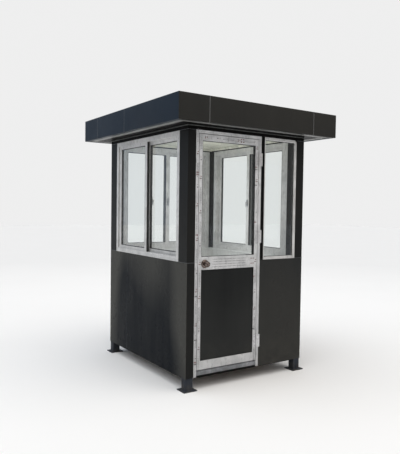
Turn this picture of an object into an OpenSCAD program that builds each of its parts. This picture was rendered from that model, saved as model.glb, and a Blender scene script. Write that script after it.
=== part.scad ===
// Security guard booth: a steel-framed hut on four feet, clad in aluminium
// composite panels, with a glazed door, a fixed light and three sliding windows.
// Millimetres, +Z up. The origin is on the ground under the middle of the body.
// The door is in the front wall, which faces -Y. Left is -X.

/* [Body] */
// Width of the body across the front, over the cladding
body_w = 1300; // [1150:10:1700]
// Depth of the body from front to back, over the cladding
body_d = 1650; // [1300:10:2200]
// Height from the ground to the top of the roof edge
total_h = 2500; // [2080:10:3000]
// Height of the underside of the body above the ground
body_base_z = 110; // [90:5:200]
// Thickness of a cladding sheet
skin_t = 3; // [3:1:6]
// Width of a seam between two sheets
seam_w = 4; // [2:0.5:8]

/* [Posts and feet] */
// Side of the square tube of a corner post
post_w = 75; // [60:5:90]
// Side of the square base plate
plate_w = 130; // [120:5:200]
// Thickness of the base plate
plate_t = 8; // [6:1:12]
// Distance between anchor holes in a base plate
anchor_pitch = 100; // [95:1:104]
// Diameter of an anchor hole
anchor_d = 14; // [10:1:16]

/* [Walls] */
// Height of the lower walls and of the window sills above the ground
sill_z = 1110; // [900:10:1300]
// Distance from the inside of a front or back wall to a side window
side_margin = 69; // [20:1:150]
// Distance from the inside of a side wall to the front light or the back window
end_margin = 14; // [5:1:100]
// Distance of the seam in the side cladding from the front
cladding_seam = 1220; // [400:10:1260]

/* [Floor] */
// Height of the floor's walking surface
floor_z = 168; // [160:2:230]
// Thickness of the floor boards
deck_t = 18; // [12:1:25]
// Width of a floor joist
joist_w = 50; // [40:5:60]

/* [Door] */
// Width of the door frame over its jambs
door_frame_w = 700; // [580:10:840]
// Visible width of a jamb and of the frame's head
jamb_w = 28; // [20:1:40]
// Gap round the door leaf
leaf_gap = 5; // [5:0.5:8]
// Depth of the door frame from front to back
door_frame_depth = 75; // [60:5:78]
// Thickness of the door leaf
leaf_t = 40; // [36:1:50]
// Width of the leaf's stiles
stile_w = 34; // [30:1:80]
// Height of the leaf's top rail
top_rail_h = 55; // [40:5:90]
// Height of the leaf's middle rail
mid_rail_h = 115; // [90:5:160]
// Height of the underside of the middle rail above the ground
mid_rail_z = 1045; // [900:5:1100]
// Height of the leaf's bottom rail
bottom_rail_h = 77; // [60:1:120]
// Thickness of the leaf's lower panel
panel_t = 20; // [10:1:30]
// Projection of the frame's stop behind the leaf
stop_w = 12; // [8:1:16]
// Depth of the frame's stop
stop_t = 20; // [12:1:22]

/* [Lock and hinges] */
// Distance of the knob from the leaf's edge
backset = 68; // [50:1:72]
// Height of the knob above the ground
knob_z = 1098; // [1085:1:1110]
// Diameter of the round plate behind a knob
rosette_d = 75; // [60:1:80]
// Thickness of that plate
rosette_t = 8; // [5:1:12]
// Diameter of the knob
knob_d = 52; // [40:1:60]
// Diameter of the knob's neck
neck_d = 24; // [18:1:30]
// Distance from the leaf's face to the front of the knob
knob_reach = 62; // [55:1:75]
// Diameter of the spindle through the leaf
spindle_d = 12; // [8:1:14]
// Height of a hinge
hinge_h = 120; // [90:5:140]
// Distance of the end hinges' middles from the ends of the leaf
hinge_end = 180; // [100:5:250]
// Distance of the middle hinge's middle above the middle rail
hinge_rise = 168; // [70:1:200]
// Width of a hinge's wing on the frame, from the pin
frame_wing_w = 42; // [24:1:46]
// Width of a hinge's wing on the leaf, from the pin
leaf_wing_w = 28; // [20:1:30]
// Thickness of a hinge wing
hinge_wing_t = 3; // [2:0.5:4]
// Outer diameter of a hinge knuckle
knuckle_d = 12; // [10:1:16]
// Diameter of a hinge pin
pin_d = 7; // [5:1:8]

/* [Windows] */
// Width of the post between the door and the front light
mullion_w = 38; // [20:1:44]
// Visible width of the front light's frame
light_face = 27; // [20:1:40]
// Visible width of that frame beside the mullion
light_edge_face = 12; // [8:1:30]
// Depth of the front light's frame
light_depth = 32; // [24:1:60]
// Radius of the front light's upper right corner
light_corner_r = 30; // [10:1:60]
// Visible width of a sliding window's outer frame
frame_face = 40; // [30:1:60]
// Depth of a sliding window's outer frame
frame_depth = 78; // [76:1:90]
// Width of the outer stile of a side window's sash
side_stile_w = 60; // [40:1:80]
// Width of the outer stile of a back window's sash
back_stile_w = 26; // [20:1:80]
// Width of a sash's meeting stile
meeting_stile_w = 46; // [35:1:60]
// Height of a sash's rails
sash_rail_h = 33; // [25:1:60]
// Thickness of a sash
sash_t = 26; // [22:1:28]
// Distance from the frame's face to the outer sash
outer_track = 10; // [6:1:14]
// Distance from the frame's face to the inner sash
inner_track = 44; // [42:1:48]
// Thickness of a pane
glass_t = 5; // [4:1:8]

/* [Roof] */
// Overhang of the roof past the body, on every side
overhang = 215; // [120:5:400]
// Height of the roof edge
fascia_h = 218; // [190:2:300]
// Width of the folded edges of the roof edge's sheets
fascia_fold = 40; // [25:5:60]
// Distance of a seam from the end of the front and back roof edges
end_seam = 290; // [150:5:400]
// Distances of the seams from the front end of the left and right roof edges
side_seams = [1050, 1720];
// Thickness of the soffit and ceiling boards
board_t = 8; // [6:1:12]
// Side of the square tube of the roof frame
tube_w = 40; // [30:5:50]
// Height of the steel beam over the walls
head_beam_h = 81; // [70:1:100]
// How far that beam shows under the soffit
head_band_h = 32; // [20:1:45]
// Height of a rib of the roof sheet
rib_h = 14; // [8:1:20]
// Number of ribs on the roof sheet
rib_count = 7; // [3:1:12]

/* [Hidden] */
$fn = 48;

// Colours of the finishes
dark_panel = [0.16, 0.16, 0.17];
inner_panel = [0.78, 0.78, 0.77];
dark_steel = [0.12, 0.13, 0.15];
silver = [0.75, 0.75, 0.76];
pane = [0.8, 0.9, 0.9, 0.35];
pale_board = [0.78, 0.79, 0.77];
timber = [0.55, 0.45, 0.35];
bronze = [0.28, 0.23, 0.2];
zinc = [0.7, 0.71, 0.72];

// Gap left at a butt joint, so that the two pieces stay separate solids
joint_gap = 0.3;
// A cut reaches this far past the face that it opens
past = 1;

half_w = body_w / 2;
half_d = body_d / 2;
// The wall is a cladding sheet, the depth of the posts and an inner sheet
wall_t = skin_t + post_w + skin_t;
// Corner strips, from the body's corner to the windows
side_strip_w = wall_t + side_margin;
end_strip_w = wall_t + end_margin;
inner_half_w = half_w - wall_t;
inner_half_d = half_d - wall_t;
post_x = half_w - skin_t - post_w / 2;
post_y = half_d - skin_t - post_w / 2;

// Heights of the roof, and of the door and window frames under it
soffit_z = total_h - fascia_h;
frame_top_z = soffit_z - head_band_h;
window_h = frame_top_z - sill_z;
board_top_z = soffit_z + board_t;
roof_half_w = half_w + overhang;
roof_half_d = half_d + overhang;
edge_half_w = roof_half_w - skin_t;
edge_half_d = roof_half_d - skin_t;
upper_ring_z = total_h - skin_t - tube_w;
lower_ring_z = board_top_z;

// Places along the front wall, from the left corner to the right
front_strip_w = skin_t + post_w + joint_gap;
door_left = -half_w + front_strip_w;
door_right = door_left + door_frame_w;
light_left = door_right + mullion_w;
light_right = half_w - end_strip_w;

// The door leaf in its frame
leaf_left = door_left + jamb_w + leaf_gap;
leaf_right = door_right - jamb_w - leaf_gap;
leaf_bottom = floor_z + leaf_gap;
leaf_top = frame_top_z - jamb_w - leaf_gap;
leaf_glass_z = mid_rail_z + mid_rail_h;
leaf_panel_z = leaf_bottom + bottom_rail_h;
leaf_face_y = -half_d;
leaf_middle_y = leaf_face_y + leaf_t / 2;
knob_x = leaf_left + backset;

hinge_zs = [leaf_bottom + hinge_end, leaf_glass_z + hinge_rise, leaf_top - hinge_end];

// The hinge pin stands in front of the gap between the leaf and its frame
pin_x = leaf_right + leaf_gap / 2;
pin_y = leaf_face_y - knuckle_d / 2;
pin_play = 0.25;
knuckle_h = hinge_h / 3;
knuckle_play = 0.5;

// A box from its lowest corner to its highest
module span(lo, hi) {
    translate(lo) cube([hi[0] - lo[0], hi[1] - lo[1], hi[2] - lo[2]]);
}

// ---------- posts, floor ----------

// A square tube on its base plate, with four anchor holes
module corner_post(x, y) {
    color(dark_steel)
    translate([x, y, 0])
    difference() {
        union() {
            translate([-plate_w / 2, -plate_w / 2, 0]) cube([plate_w, plate_w, plate_t]);
            translate([-post_w / 2, -post_w / 2, 0]) cube([post_w, post_w, frame_top_z]);
        }
        for (dx = [-1, 1], dy = [-1, 1])
            translate([dx * anchor_pitch / 2, dy * anchor_pitch / 2, -past])
                cylinder(d = anchor_d, h = plate_t + 2 * past);
    }
}

module corner_post_front_left() { corner_post(-post_x, -post_y); }
module corner_post_front_right() { corner_post(post_x, -post_y); }
module corner_post_back_left() { corner_post(-post_x, post_y); }
module corner_post_back_right() { corner_post(post_x, post_y); }

// The floor frame hangs a little below the cladding
frame_drop = 4;
floor_frame_z = body_base_z - frame_drop;
floor_rail_top = floor_z - deck_t;
joist_count = 3;
// The front rail is a flat bar under the door's sill
sill_bar_t = 6;
sill_bar_top = floor_frame_z + sill_bar_t;

module floor_frame() {
    far_x = post_x - post_w / 2 - joint_gap;
    far_y = post_y - post_w / 2 - joint_gap;
    rail_x = post_x - post_w / 2;
    rail_y = post_y - post_w / 2;
    joist_step = 2 * inner_half_d / (joist_count + 1);
    color(dark_steel)
    union() {
        // Rails along the sides, between the posts
        for (s = [-1, 1])
            span([s > 0 ? rail_x : -rail_x - post_w, -far_y, floor_frame_z],
                 [s > 0 ? rail_x + post_w : -rail_x, far_y, floor_rail_top]);
        // Rail along the back
        span([-far_x, rail_y, floor_frame_z], [far_x, rail_y + post_w, floor_rail_top]);
        // Flat bar under the door and a rail under the front wall
        span([-far_x, -rail_y - post_w, floor_frame_z], [far_x, -rail_y, sill_bar_top]);
        span([light_left, -rail_y - post_w, floor_frame_z], [far_x, -rail_y, floor_rail_top]);
        // Trimmers just inside the front and back rails, and joists between them
        span([-rail_x, -rail_y, floor_frame_z], [rail_x, -rail_y + joist_w, floor_rail_top]);
        span([-rail_x, rail_y - joist_w, floor_frame_z], [rail_x, rail_y, floor_rail_top]);
        for (i = [1 : joist_count])
            span([-rail_x, -inner_half_d + i * joist_step - joist_w / 2, floor_frame_z],
                 [rail_x, -inner_half_d + i * joist_step + joist_w / 2, floor_rail_top]);
    }
}

module floor_deck() {
    color(timber)
    span([-inner_half_w + joint_gap, -inner_half_d + joint_gap, floor_rail_top],
         [inner_half_w - joint_gap, inner_half_d - joint_gap, floor_z]);
}

// ---------- lower walls and their cladding ----------

wall_bottom = floor_rail_top;
wall_post_x = post_x - post_w / 2 - joint_gap;
wall_post_y = post_y - post_w / 2 - joint_gap;

// A side wall between its posts
module side_wall(s) {
    color(inner_panel)
    mirror([s > 0 ? 1 : 0, 0, 0])
    span([-half_w + skin_t + joint_gap, -wall_post_y, wall_bottom],
         [-inner_half_w, wall_post_y, sill_z]);
}

module left_wall() { side_wall(-1); }
module right_wall() { side_wall(1); }

// A front or back wall from one x to another, drawn for the back. Its core reaches
// the posts, and its inner sheet ends at the side walls.
module end_wall(from_x, to_x) {
    sheet_from = max(from_x, -inner_half_w + joint_gap);
    sheet_to = min(to_x, inner_half_w - joint_gap);
    union() {
        span([from_x, inner_half_d + skin_t, wall_bottom],
             [to_x, half_d - skin_t - joint_gap, sill_z]);
        span([sheet_from, inner_half_d, wall_bottom],
             [sheet_to, inner_half_d + skin_t, sill_z]);
    }
}

module back_wall() {
    color(inner_panel) end_wall(-wall_post_x, wall_post_x);
}

module front_wall() {
    color(inner_panel) mirror([0, 1, 0]) end_wall(door_right + joint_gap, wall_post_x);
}

// Two sheets cover a whole side, corner posts and all
module side_cladding(s) {
    x = s < 0 ? -half_w : half_w - skin_t;
    seam_y = -half_d + cladding_seam;
    color(dark_panel)
    union() {
        span([x, -half_d, body_base_z], [x + skin_t, seam_y - seam_w / 2, sill_z]);
        span([x, seam_y + seam_w / 2, body_base_z], [x + skin_t, half_d, sill_z]);
    }
}

module left_cladding() { side_cladding(-1); }
module right_cladding() { side_cladding(1); }

clad_x = half_w - skin_t - joint_gap;

module back_cladding() {
    color(dark_panel)
    span([-clad_x, half_d - skin_t, body_base_z], [clad_x, half_d, sill_z]);
}

// The front is clad left of the door and right of it
module front_cladding() {
    color(dark_panel)
    union() {
        span([-clad_x, -half_d, body_base_z], [door_left - joint_gap, -half_d + skin_t, sill_z]);
        span([door_right + joint_gap, -half_d, body_base_z], [clad_x, -half_d + skin_t, sill_z]);
    }
}

// ---------- upper walls ----------

// A folded casing round a corner post, from the sill line to the head beam
module corner_casing(front_w, sx, sy) {
    mirror([sx > 0 ? 1 : 0, 0, 0])
    mirror([0, sy > 0 ? 1 : 0, 0])
    difference() {
        span([-half_w, -half_d, sill_z + joint_gap],
             [-half_w + front_w, -half_d + side_strip_w, frame_top_z - joint_gap]);
        // The casing is a folded sheet: it leaves room for the wall's inside
        span([-inner_half_w, -inner_half_d, sill_z - past],
             [-half_w + front_w + past, -half_d + side_strip_w + past, frame_top_z + past]);
        span([-half_w + skin_t - joint_gap, -half_d + skin_t - joint_gap, sill_z - past],
             [-half_w + skin_t + post_w + joint_gap, -half_d + skin_t + post_w + joint_gap,
              frame_top_z + past]);
    }
}

module corner_casings() {
    color(dark_panel)
    union() {
        corner_casing(front_strip_w, -1, -1);
        corner_casing(end_strip_w, 1, -1);
        corner_casing(end_strip_w, -1, 1);
        corner_casing(end_strip_w, 1, 1);
    }
}

module mullion() {
    color(dark_steel)
    span([door_right + joint_gap, -half_d, sill_z],
         [light_left, -inner_half_d, frame_top_z - joint_gap]);
}

// A ring of square tube over the walls, which carries the roof
module head_beam() {
    color(dark_steel)
    difference() {
        span([-half_w, -half_d, frame_top_z], [half_w, half_d, frame_top_z + head_beam_h]);
        span([-inner_half_w, -inner_half_d, frame_top_z - past],
             [inner_half_w, inner_half_d, frame_top_z + head_beam_h + past]);
    }
}

// ---------- roof ----------

// A rectangular ring of square tube, by its outer half sizes
module tube_ring(hx, hy, z) {
    difference() {
        span([-hx, -hy, z], [hx, hy, z + tube_w]);
        span([-hx + tube_w, -hy + tube_w, z - past], [hx - tube_w, hy - tube_w, z + tube_w + past]);
    }
}

upright_count = 5;
outrigger_count = 3;

module roof_frame() {
    upright_step = (2 * edge_half_d - tube_w) / (upright_count - 1);
    outrigger_step = (2 * inner_half_w + wall_t) / (outrigger_count - 1);
    color(dark_steel)
    union() {
        tube_ring(edge_half_w, edge_half_d, lower_ring_z);
        tube_ring(edge_half_w, edge_half_d, upper_ring_z);
        for (i = [0 : upright_count - 1], s = [-1, 1]) {
            y = -edge_half_d + i * upright_step;
            x = s > 0 ? edge_half_w - tube_w : -edge_half_w;
            span([x, y, lower_ring_z], [x + tube_w, y + tube_w, upper_ring_z + past]);
        }
        // Joists from side to side under the roof sheet
        for (i = [1 : upright_count - 2]) {
            y = -edge_half_d + i * upright_step;
            span([-edge_half_w, y, upper_ring_z - tube_w],
                 [edge_half_w, y + tube_w, upper_ring_z]);
            // Outriggers to the head beam, under the same joists
            for (s = [-1, 1])
                span([s > 0 ? half_w + joint_gap : -edge_half_w, y, lower_ring_z],
                     [s > 0 ? edge_half_w : -half_w - joint_gap, y + tube_w, lower_ring_z + tube_w]);
        }
        // Outriggers at the front and back
        for (i = [0 : outrigger_count - 1], s = [-1, 1]) {
            x = -inner_half_w - wall_t / 2 - tube_w / 2 + i * outrigger_step;
            span([x, s > 0 ? half_d + joint_gap : -edge_half_d, lower_ring_z],
                 [x + tube_w, s > 0 ? edge_half_d : -half_d - joint_gap, lower_ring_z + tube_w]);
        }
    }
}

module roof_sheet() {
    sheet_x = edge_half_w - tube_w - joint_gap;
    sheet_y = edge_half_d - tube_w - joint_gap;
    rib_step = 2 * sheet_x / rib_count;
    color(silver)
    union() {
        span([-sheet_x, -sheet_y, upper_ring_z], [sheet_x, sheet_y, upper_ring_z + skin_t]);
        for (i = [0 : rib_count - 1])
            span([-sheet_x + (i + 0.5) * rib_step - rib_h, -sheet_y, upper_ring_z],
                 [-sheet_x + (i + 0.5) * rib_step + rib_h, sheet_y, upper_ring_z + skin_t + rib_h]);
    }
}

// Four runs of boards under the overhang
module soffit() {
    out_x = edge_half_w - joint_gap;
    out_y = edge_half_d - joint_gap;
    color(pale_board)
    union() {
        for (s = [-1, 1]) {
            span([-out_x, s > 0 ? half_d + joint_gap : -out_y, soffit_z + skin_t],
                 [out_x, s > 0 ? out_y : -half_d - joint_gap, board_top_z]);
            span([s > 0 ? half_w + joint_gap : -out_x, -half_d, soffit_z + skin_t],
                 [s > 0 ? out_x : -half_w - joint_gap, half_d, board_top_z]);
        }
    }
}

module ceiling() {
    color(pale_board)
    span([-inner_half_w + joint_gap, -inner_half_d + joint_gap, soffit_z],
         [inner_half_w - joint_gap, inner_half_d - joint_gap, board_top_z]);
}

// A run of folded sheet along X: a face, a fold at the top and one at the bottom
module fascia_run(from_x, to_x, face_y) {
    span([from_x, face_y, soffit_z], [to_x, face_y + skin_t, total_h]);
    span([from_x, face_y, total_h - skin_t], [to_x, face_y + fascia_fold, total_h]);
    span([from_x, face_y, soffit_z], [to_x, face_y + fascia_fold, soffit_z + skin_t]);
}

// The roof edge along one side, cut at its seams and mitred at both ends.
// It is drawn along X and starts at -half_len.
module fascia(half_len, face, seams) {
    difference() {
        fascia_run(-half_len, half_len, -face);
        for (x = seams)
            span([-half_len + x - seam_w / 2, -face - past, soffit_z - past],
                 [-half_len + x + seam_w / 2, -face + fascia_fold + past, total_h + past]);
        for (s = [0, 1])
            mirror([s, 0, 0])
            translate([-half_len, -face, soffit_z - past])
            linear_extrude(height = fascia_h + 2 * past)
            polygon([[-past, -past], [-past + joint_gap, -past],
                     [fascia_fold + past + joint_gap, fascia_fold + past],
                     [-past, fascia_fold + past]]);
    }
}

front_seams = [end_seam, 2 * roof_half_w - end_seam];

module front_fascia() { color(dark_panel) fascia(roof_half_w, roof_half_d, front_seams); }
module back_fascia() { rotate([0, 0, 180]) front_fascia(); }

// The side runs start at the front corner
module left_fascia() {
    color(dark_panel)
    rotate([0, 0, -90]) mirror([1, 0, 0]) fascia(roof_half_d, roof_half_w, side_seams);
}
module right_fascia() { mirror([1, 0, 0]) left_fascia(); }

// ---------- door ----------

module door_frame() {
    back_y = -half_d + door_frame_depth;
    stop_y = back_y - stop_t;
    top_z = frame_top_z - joint_gap;
    // Opening between the jambs, and the narrower one between their stops
    open_left = door_left + jamb_w;
    open_right = door_right - jamb_w;
    open_top = frame_top_z - jamb_w;
    color(silver)
    union() {
        // Jambs, each with its stop
        span([door_left, -half_d, sill_bar_top], [open_left, back_y, top_z]);
        span([door_left, stop_y, sill_bar_top], [open_left + stop_w, back_y, top_z]);
        span([open_right, -half_d, sill_bar_top], [door_right, back_y, top_z]);
        span([open_right - stop_w, stop_y, sill_bar_top], [door_right, back_y, top_z]);
        // Head with its stop, and the sill, fit between the jambs
        span([open_left + joint_gap, -half_d, open_top],
             [open_right - joint_gap, stop_y - joint_gap, top_z]);
        span([open_left + stop_w + joint_gap, stop_y - 2 * joint_gap, open_top - stop_w],
             [open_right - stop_w - joint_gap, back_y, top_z]);
        span([open_left + joint_gap, -half_d, sill_bar_top],
             [open_right - joint_gap, stop_y - joint_gap, floor_z]);
    }
}

spindle_play = 1;

module door_leaf() {
    y0 = leaf_face_y;
    y1 = leaf_face_y + leaf_t;
    // Lower and upper edge of each rail
    rails = [[leaf_bottom, leaf_panel_z], [mid_rail_z, leaf_glass_z], [leaf_top - top_rail_h, leaf_top]];
    color(silver)
    difference() {
        union() {
            span([leaf_left, y0, leaf_bottom], [leaf_left + stile_w, y1, leaf_top]);
            span([leaf_right - stile_w, y0, leaf_bottom], [leaf_right, y1, leaf_top]);
            for (rail = rails)
                span([leaf_left + stile_w - past, y0, rail[0]],
                     [leaf_right - stile_w + past, y1, rail[1]]);
        }
        // Way for the lock's spindle
        translate([knob_x, y0 - past, knob_z])
        rotate([-90, 0, 0])
            cylinder(d = spindle_d + 2 * spindle_play, h = leaf_t + 2 * past);
    }
}

// A sheet between the leaf's stiles, held in the middle of their thickness
module leaf_infill(t, from_z, to_z) {
    span([leaf_left + stile_w + joint_gap, leaf_middle_y - t / 2, from_z + joint_gap],
         [leaf_right - stile_w - joint_gap, leaf_middle_y + t / 2, to_z - joint_gap]);
}

module door_glass() { color(pane) leaf_infill(glass_t, leaf_glass_z, leaf_top - top_rail_h); }
module door_panel() { color(dark_panel) leaf_infill(panel_t, leaf_panel_z, mid_rail_z); }

// A round plate on each face of the leaf, with a way for the knob's neck
neck_play = 0.5;

module rosette() {
    difference() {
        cylinder(d = rosette_d, h = rosette_t);
        translate([0, 0, -past]) cylinder(d = neck_d + 2 * neck_play, h = rosette_t + 2 * past);
    }
}

module door_rosettes() {
    color(bronze)
    translate([knob_x, leaf_middle_y, knob_z])
    rotate([90, 0, 0])
    for (s = [0, 1])
        mirror([0, 0, s]) translate([0, 0, leaf_t / 2]) rosette();
}

// The knob's flat front lies this share of its radius past the middle of its ball
flat_share = 0.72;
// A knob's neck starts this far off the leaf, and the spindle reaches into it
neck_gap = 1;
spindle_grip = 2;

// Half of the knob's outline, turned about the spindle
module knob_shape() {
    ball_r = knob_d / 2;
    ball_z = leaf_t / 2 + knob_reach - ball_r * flat_share;
    neck_z = leaf_t / 2 + neck_gap;
    rotate_extrude()
    intersection() {
        union() {
            translate([0, neck_z]) square([neck_d / 2, ball_z - neck_z]);
            translate([0, ball_z]) circle(r = ball_r);
        }
        translate([0, neck_z]) square([ball_r + past, knob_reach - neck_gap]);
    }
}

module door_knobs() {
    color(bronze)
    translate([knob_x, leaf_middle_y, knob_z])
    rotate([90, 0, 0])
    union() {
        knob_shape();
        mirror([0, 0, 1]) knob_shape();
        translate([0, 0, -leaf_t / 2 - spindle_grip])
            cylinder(d = spindle_d, h = leaf_t + 2 * spindle_grip);
    }
}

// The frame's half of each hinge: a wing, two knuckles and the pin
module hinge_frame_wings() {
    color(zinc)
    for (z = hinge_zs)
        translate([pin_x, pin_y, z - hinge_h / 2])
        union() {
            difference() {
                translate([0, knuckle_d / 2 - hinge_wing_t, 0])
                    cube([frame_wing_w, hinge_wing_t - joint_gap / 2, hinge_h]);
                translate([-past, -knuckle_d, knuckle_h - knuckle_play])
                    cube([knuckle_d / 2 + 2 * past, 2 * knuckle_d, knuckle_h + 2 * knuckle_play]);
            }
            // The lower knuckle ends clear of the leaf's knuckle, and so does the upper one
            cylinder(d = knuckle_d, h = knuckle_h - knuckle_play);
            translate([0, 0, 2 * knuckle_h + knuckle_play])
                cylinder(d = knuckle_d, h = knuckle_h - knuckle_play);
            cylinder(d = pin_d, h = hinge_h);
        }
}

// The leaf's half of each hinge: a wing and the middle knuckle
module hinge_leaf_wings() {
    color(zinc)
    for (z = hinge_zs)
        translate([pin_x, pin_y, z - hinge_h / 2])
        difference() {
            union() {
                difference() {
                    translate([-leaf_wing_w, knuckle_d / 2 - hinge_wing_t, 0])
                        cube([leaf_wing_w, hinge_wing_t - joint_gap / 2, hinge_h]);
                    for (z = [-past, 2 * knuckle_h])
                        translate([-knuckle_d / 2 - past, -knuckle_d, z])
                            cube([knuckle_d, 2 * knuckle_d, knuckle_h + past]);
                }
                translate([0, 0, knuckle_h]) cylinder(d = knuckle_d, h = knuckle_h);
            }
            translate([0, 0, -past]) cylinder(d = pin_d + 2 * pin_play, h = hinge_h + 2 * past);
        }
}

// ---------- fixed light beside the door ----------

// The light's opening, square but for its upper right corner. The play is the gap to its edge.
module light_outline(play) {
    inset = light_face + play;
    left_inset = light_edge_face + play;
    w = light_right - light_left - inset - left_inset;
    h = window_h - 2 * inset;
    r = light_corner_r - inset / 2;
    translate([left_inset, inset])
    union() {
        square([w - r, h]);
        square([w, h - r]);
        translate([w - r, h - r]) circle(r = r);
    }
}

module light_extrude(y0, depth) {
    translate([light_left, y0 + depth, sill_z])
    rotate([90, 0, 0])
    linear_extrude(height = depth)
    children();
}

module front_light_frame() {
    color(silver)
    difference() {
        light_extrude(-half_d, light_depth)
            translate([joint_gap, joint_gap])
            square([light_right - light_left - 2 * joint_gap, window_h - 2 * joint_gap]);
        light_extrude(-half_d - past, light_depth + 2 * past) light_outline(0);
    }
}

module front_light_glass() {
    color(pane)
    light_extrude(-half_d + light_depth / 2 - glass_t / 2, glass_t)
        light_outline(joint_gap);
}

// ---------- sliding windows ----------

// A sliding window is drawn along X with its face at y = 0 and its sill at z = 0

module window_frame(w) {
    h = window_h - joint_gap;
    color(silver)
    union() {
        for (x = [joint_gap, w - frame_face])
            span([x, 0, joint_gap], [x + frame_face - joint_gap, frame_depth, h]);
        for (z = [joint_gap, h - frame_face])
            span([frame_face + joint_gap, 0, z],
                 [w - frame_face - joint_gap, frame_depth, z + frame_face]);
    }
}

function sash_width(w) = (w - 2 * frame_face + meeting_stile_w) / 2 - joint_gap;
sash_bottom = frame_face + 2 * joint_gap;
sash_height = window_h - joint_gap - 2 * sash_bottom;

// A sash with its outer stile at x = 0
module sash(w, stile_w) {
    sw = sash_width(w);
    difference() {
        cube([sw, sash_t, sash_height]);
        translate([stile_w, -past, sash_rail_h])
            cube([sw - stile_w - meeting_stile_w, sash_t + 2 * past, sash_height - 2 * sash_rail_h]);
    }
}

module sash_pane(w, stile_w) {
    sw = sash_width(w);
    translate([stile_w + joint_gap, (sash_t - glass_t) / 2, sash_rail_h + joint_gap])
        cube([sw - stile_w - meeting_stile_w - 2 * joint_gap, glass_t,
              sash_height - 2 * sash_rail_h - 2 * joint_gap]);
}

// The outer sash is at the x = 0 end and the inner one at the other end
module in_sashes(w) {
    translate([frame_face + joint_gap, outer_track, sash_bottom]) children(0);
    translate([w - frame_face - joint_gap, inner_track, sash_bottom]) mirror([1, 0, 0]) children(0);
}

module window_sashes(w, stile_w) { color(silver) in_sashes(w) sash(w, stile_w); }
module window_glass(w, stile_w) { color(pane) in_sashes(w) sash_pane(w, stile_w); }

side_window_w = body_d - 2 * side_strip_w;
back_window_w = body_w - 2 * end_strip_w;

// Places a window drawn along X in the left, right or back wall
module in_left_wall() {
    translate([-half_w, half_d - side_strip_w, sill_z]) rotate([0, 0, -90]) children();
}
module in_right_wall() { mirror([1, 0, 0]) in_left_wall() children(); }
module in_back_wall() {
    translate([half_w - end_strip_w, half_d, sill_z]) rotate([0, 0, 180]) children();
}

module left_window_frame() { in_left_wall() window_frame(side_window_w); }
module left_window_sashes() { in_left_wall() window_sashes(side_window_w, side_stile_w); }
module left_window_glass() { in_left_wall() window_glass(side_window_w, side_stile_w); }
module right_window_frame() { in_right_wall() window_frame(side_window_w); }
module right_window_sashes() { in_right_wall() window_sashes(side_window_w, side_stile_w); }
module right_window_glass() { in_right_wall() window_glass(side_window_w, side_stile_w); }
module back_window_frame() { in_back_wall() window_frame(back_window_w); }
module back_window_sashes() { in_back_wall() window_sashes(back_window_w, back_stile_w); }
module back_window_glass() { in_back_wall() window_glass(back_window_w, back_stile_w); }

corner_post_front_left();
corner_post_front_right();
corner_post_back_left();
corner_post_back_right();
floor_frame();
floor_deck();
left_wall();
right_wall();
back_wall();
front_wall();
left_cladding();
right_cladding();
back_cladding();
front_cladding();
corner_casings();
mullion();
head_beam();
roof_frame();
roof_sheet();
soffit();
ceiling();
front_fascia();
back_fascia();
left_fascia();
right_fascia();
door_frame();
door_leaf();
door_glass();
door_panel();
door_rosettes();
door_knobs();
hinge_frame_wings();
hinge_leaf_wings();
front_light_frame();
front_light_glass();
left_window_frame();
left_window_sashes();
left_window_glass();
right_window_frame();
right_window_sashes();
right_window_glass();
back_window_frame();
back_window_sashes();
back_window_glass();
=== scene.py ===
# %% [markdown]
# # A security guard booth
# This lesson dresses a ready-made frame of a small steel booth. The frame gives every size and
# place; each cell below makes one piece of the real booth as a mesh, and gives it a finish made
# only of nodes. All lengths are in metres, +Z is up, and the door faces -Y.

# %% Load the frame
import math

import bmesh
import bpy
from mathutils import Matrix, Vector


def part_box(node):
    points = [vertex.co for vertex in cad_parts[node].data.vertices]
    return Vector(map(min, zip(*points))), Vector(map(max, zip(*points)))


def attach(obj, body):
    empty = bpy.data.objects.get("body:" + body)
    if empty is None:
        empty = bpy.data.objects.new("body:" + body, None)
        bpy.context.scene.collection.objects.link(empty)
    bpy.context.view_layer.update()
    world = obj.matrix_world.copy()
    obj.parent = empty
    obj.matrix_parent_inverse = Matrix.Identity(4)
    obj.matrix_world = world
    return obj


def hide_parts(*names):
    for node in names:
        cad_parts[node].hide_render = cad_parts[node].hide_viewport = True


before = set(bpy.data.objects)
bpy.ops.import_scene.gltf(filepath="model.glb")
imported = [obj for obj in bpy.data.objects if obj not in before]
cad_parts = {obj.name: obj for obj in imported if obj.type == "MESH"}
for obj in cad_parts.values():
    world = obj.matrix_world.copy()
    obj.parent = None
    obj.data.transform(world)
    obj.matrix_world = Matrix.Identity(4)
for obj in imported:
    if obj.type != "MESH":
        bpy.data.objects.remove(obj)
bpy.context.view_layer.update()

# %% [markdown]
# ## Places that come from the frame
# The booth's own pieces say where everything goes. Reading a few corners once, and naming them,
# keeps every later cell free of bare numbers.

# %% Name the main places
half_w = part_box("right_cladding")[1].x
half_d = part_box("back_cladding")[1].y
base_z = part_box("left_cladding")[0].z
sill_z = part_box("left_cladding")[1].z
head_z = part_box("head_beam")[0].z
beam_top_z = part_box("head_beam")[1].z
soffit_z, roof_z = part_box("front_fascia")[0].z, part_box("front_fascia")[1].z
inner_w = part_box("right_wall")[0].x
inner_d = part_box("back_wall")[0].y
roof_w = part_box("right_fascia")[1].x
roof_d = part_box("back_fascia")[1].y
floor_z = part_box("floor_deck")[1].z
sheet_t = 0.003
fit = 0.0003
print("body", half_w * 2, half_d * 2, "roof", roof_w * 2, roof_d * 2)

# %% [markdown]
# ## A shape that collects solids
# Every piece is a set of closed solids: bars, plates, turned parts. A small class that takes them
# one by one is easier to read than a chain of operators, and it can draw the same window in three
# walls by a change of its place. Normals are made to point outward when the mesh is finished.


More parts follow.
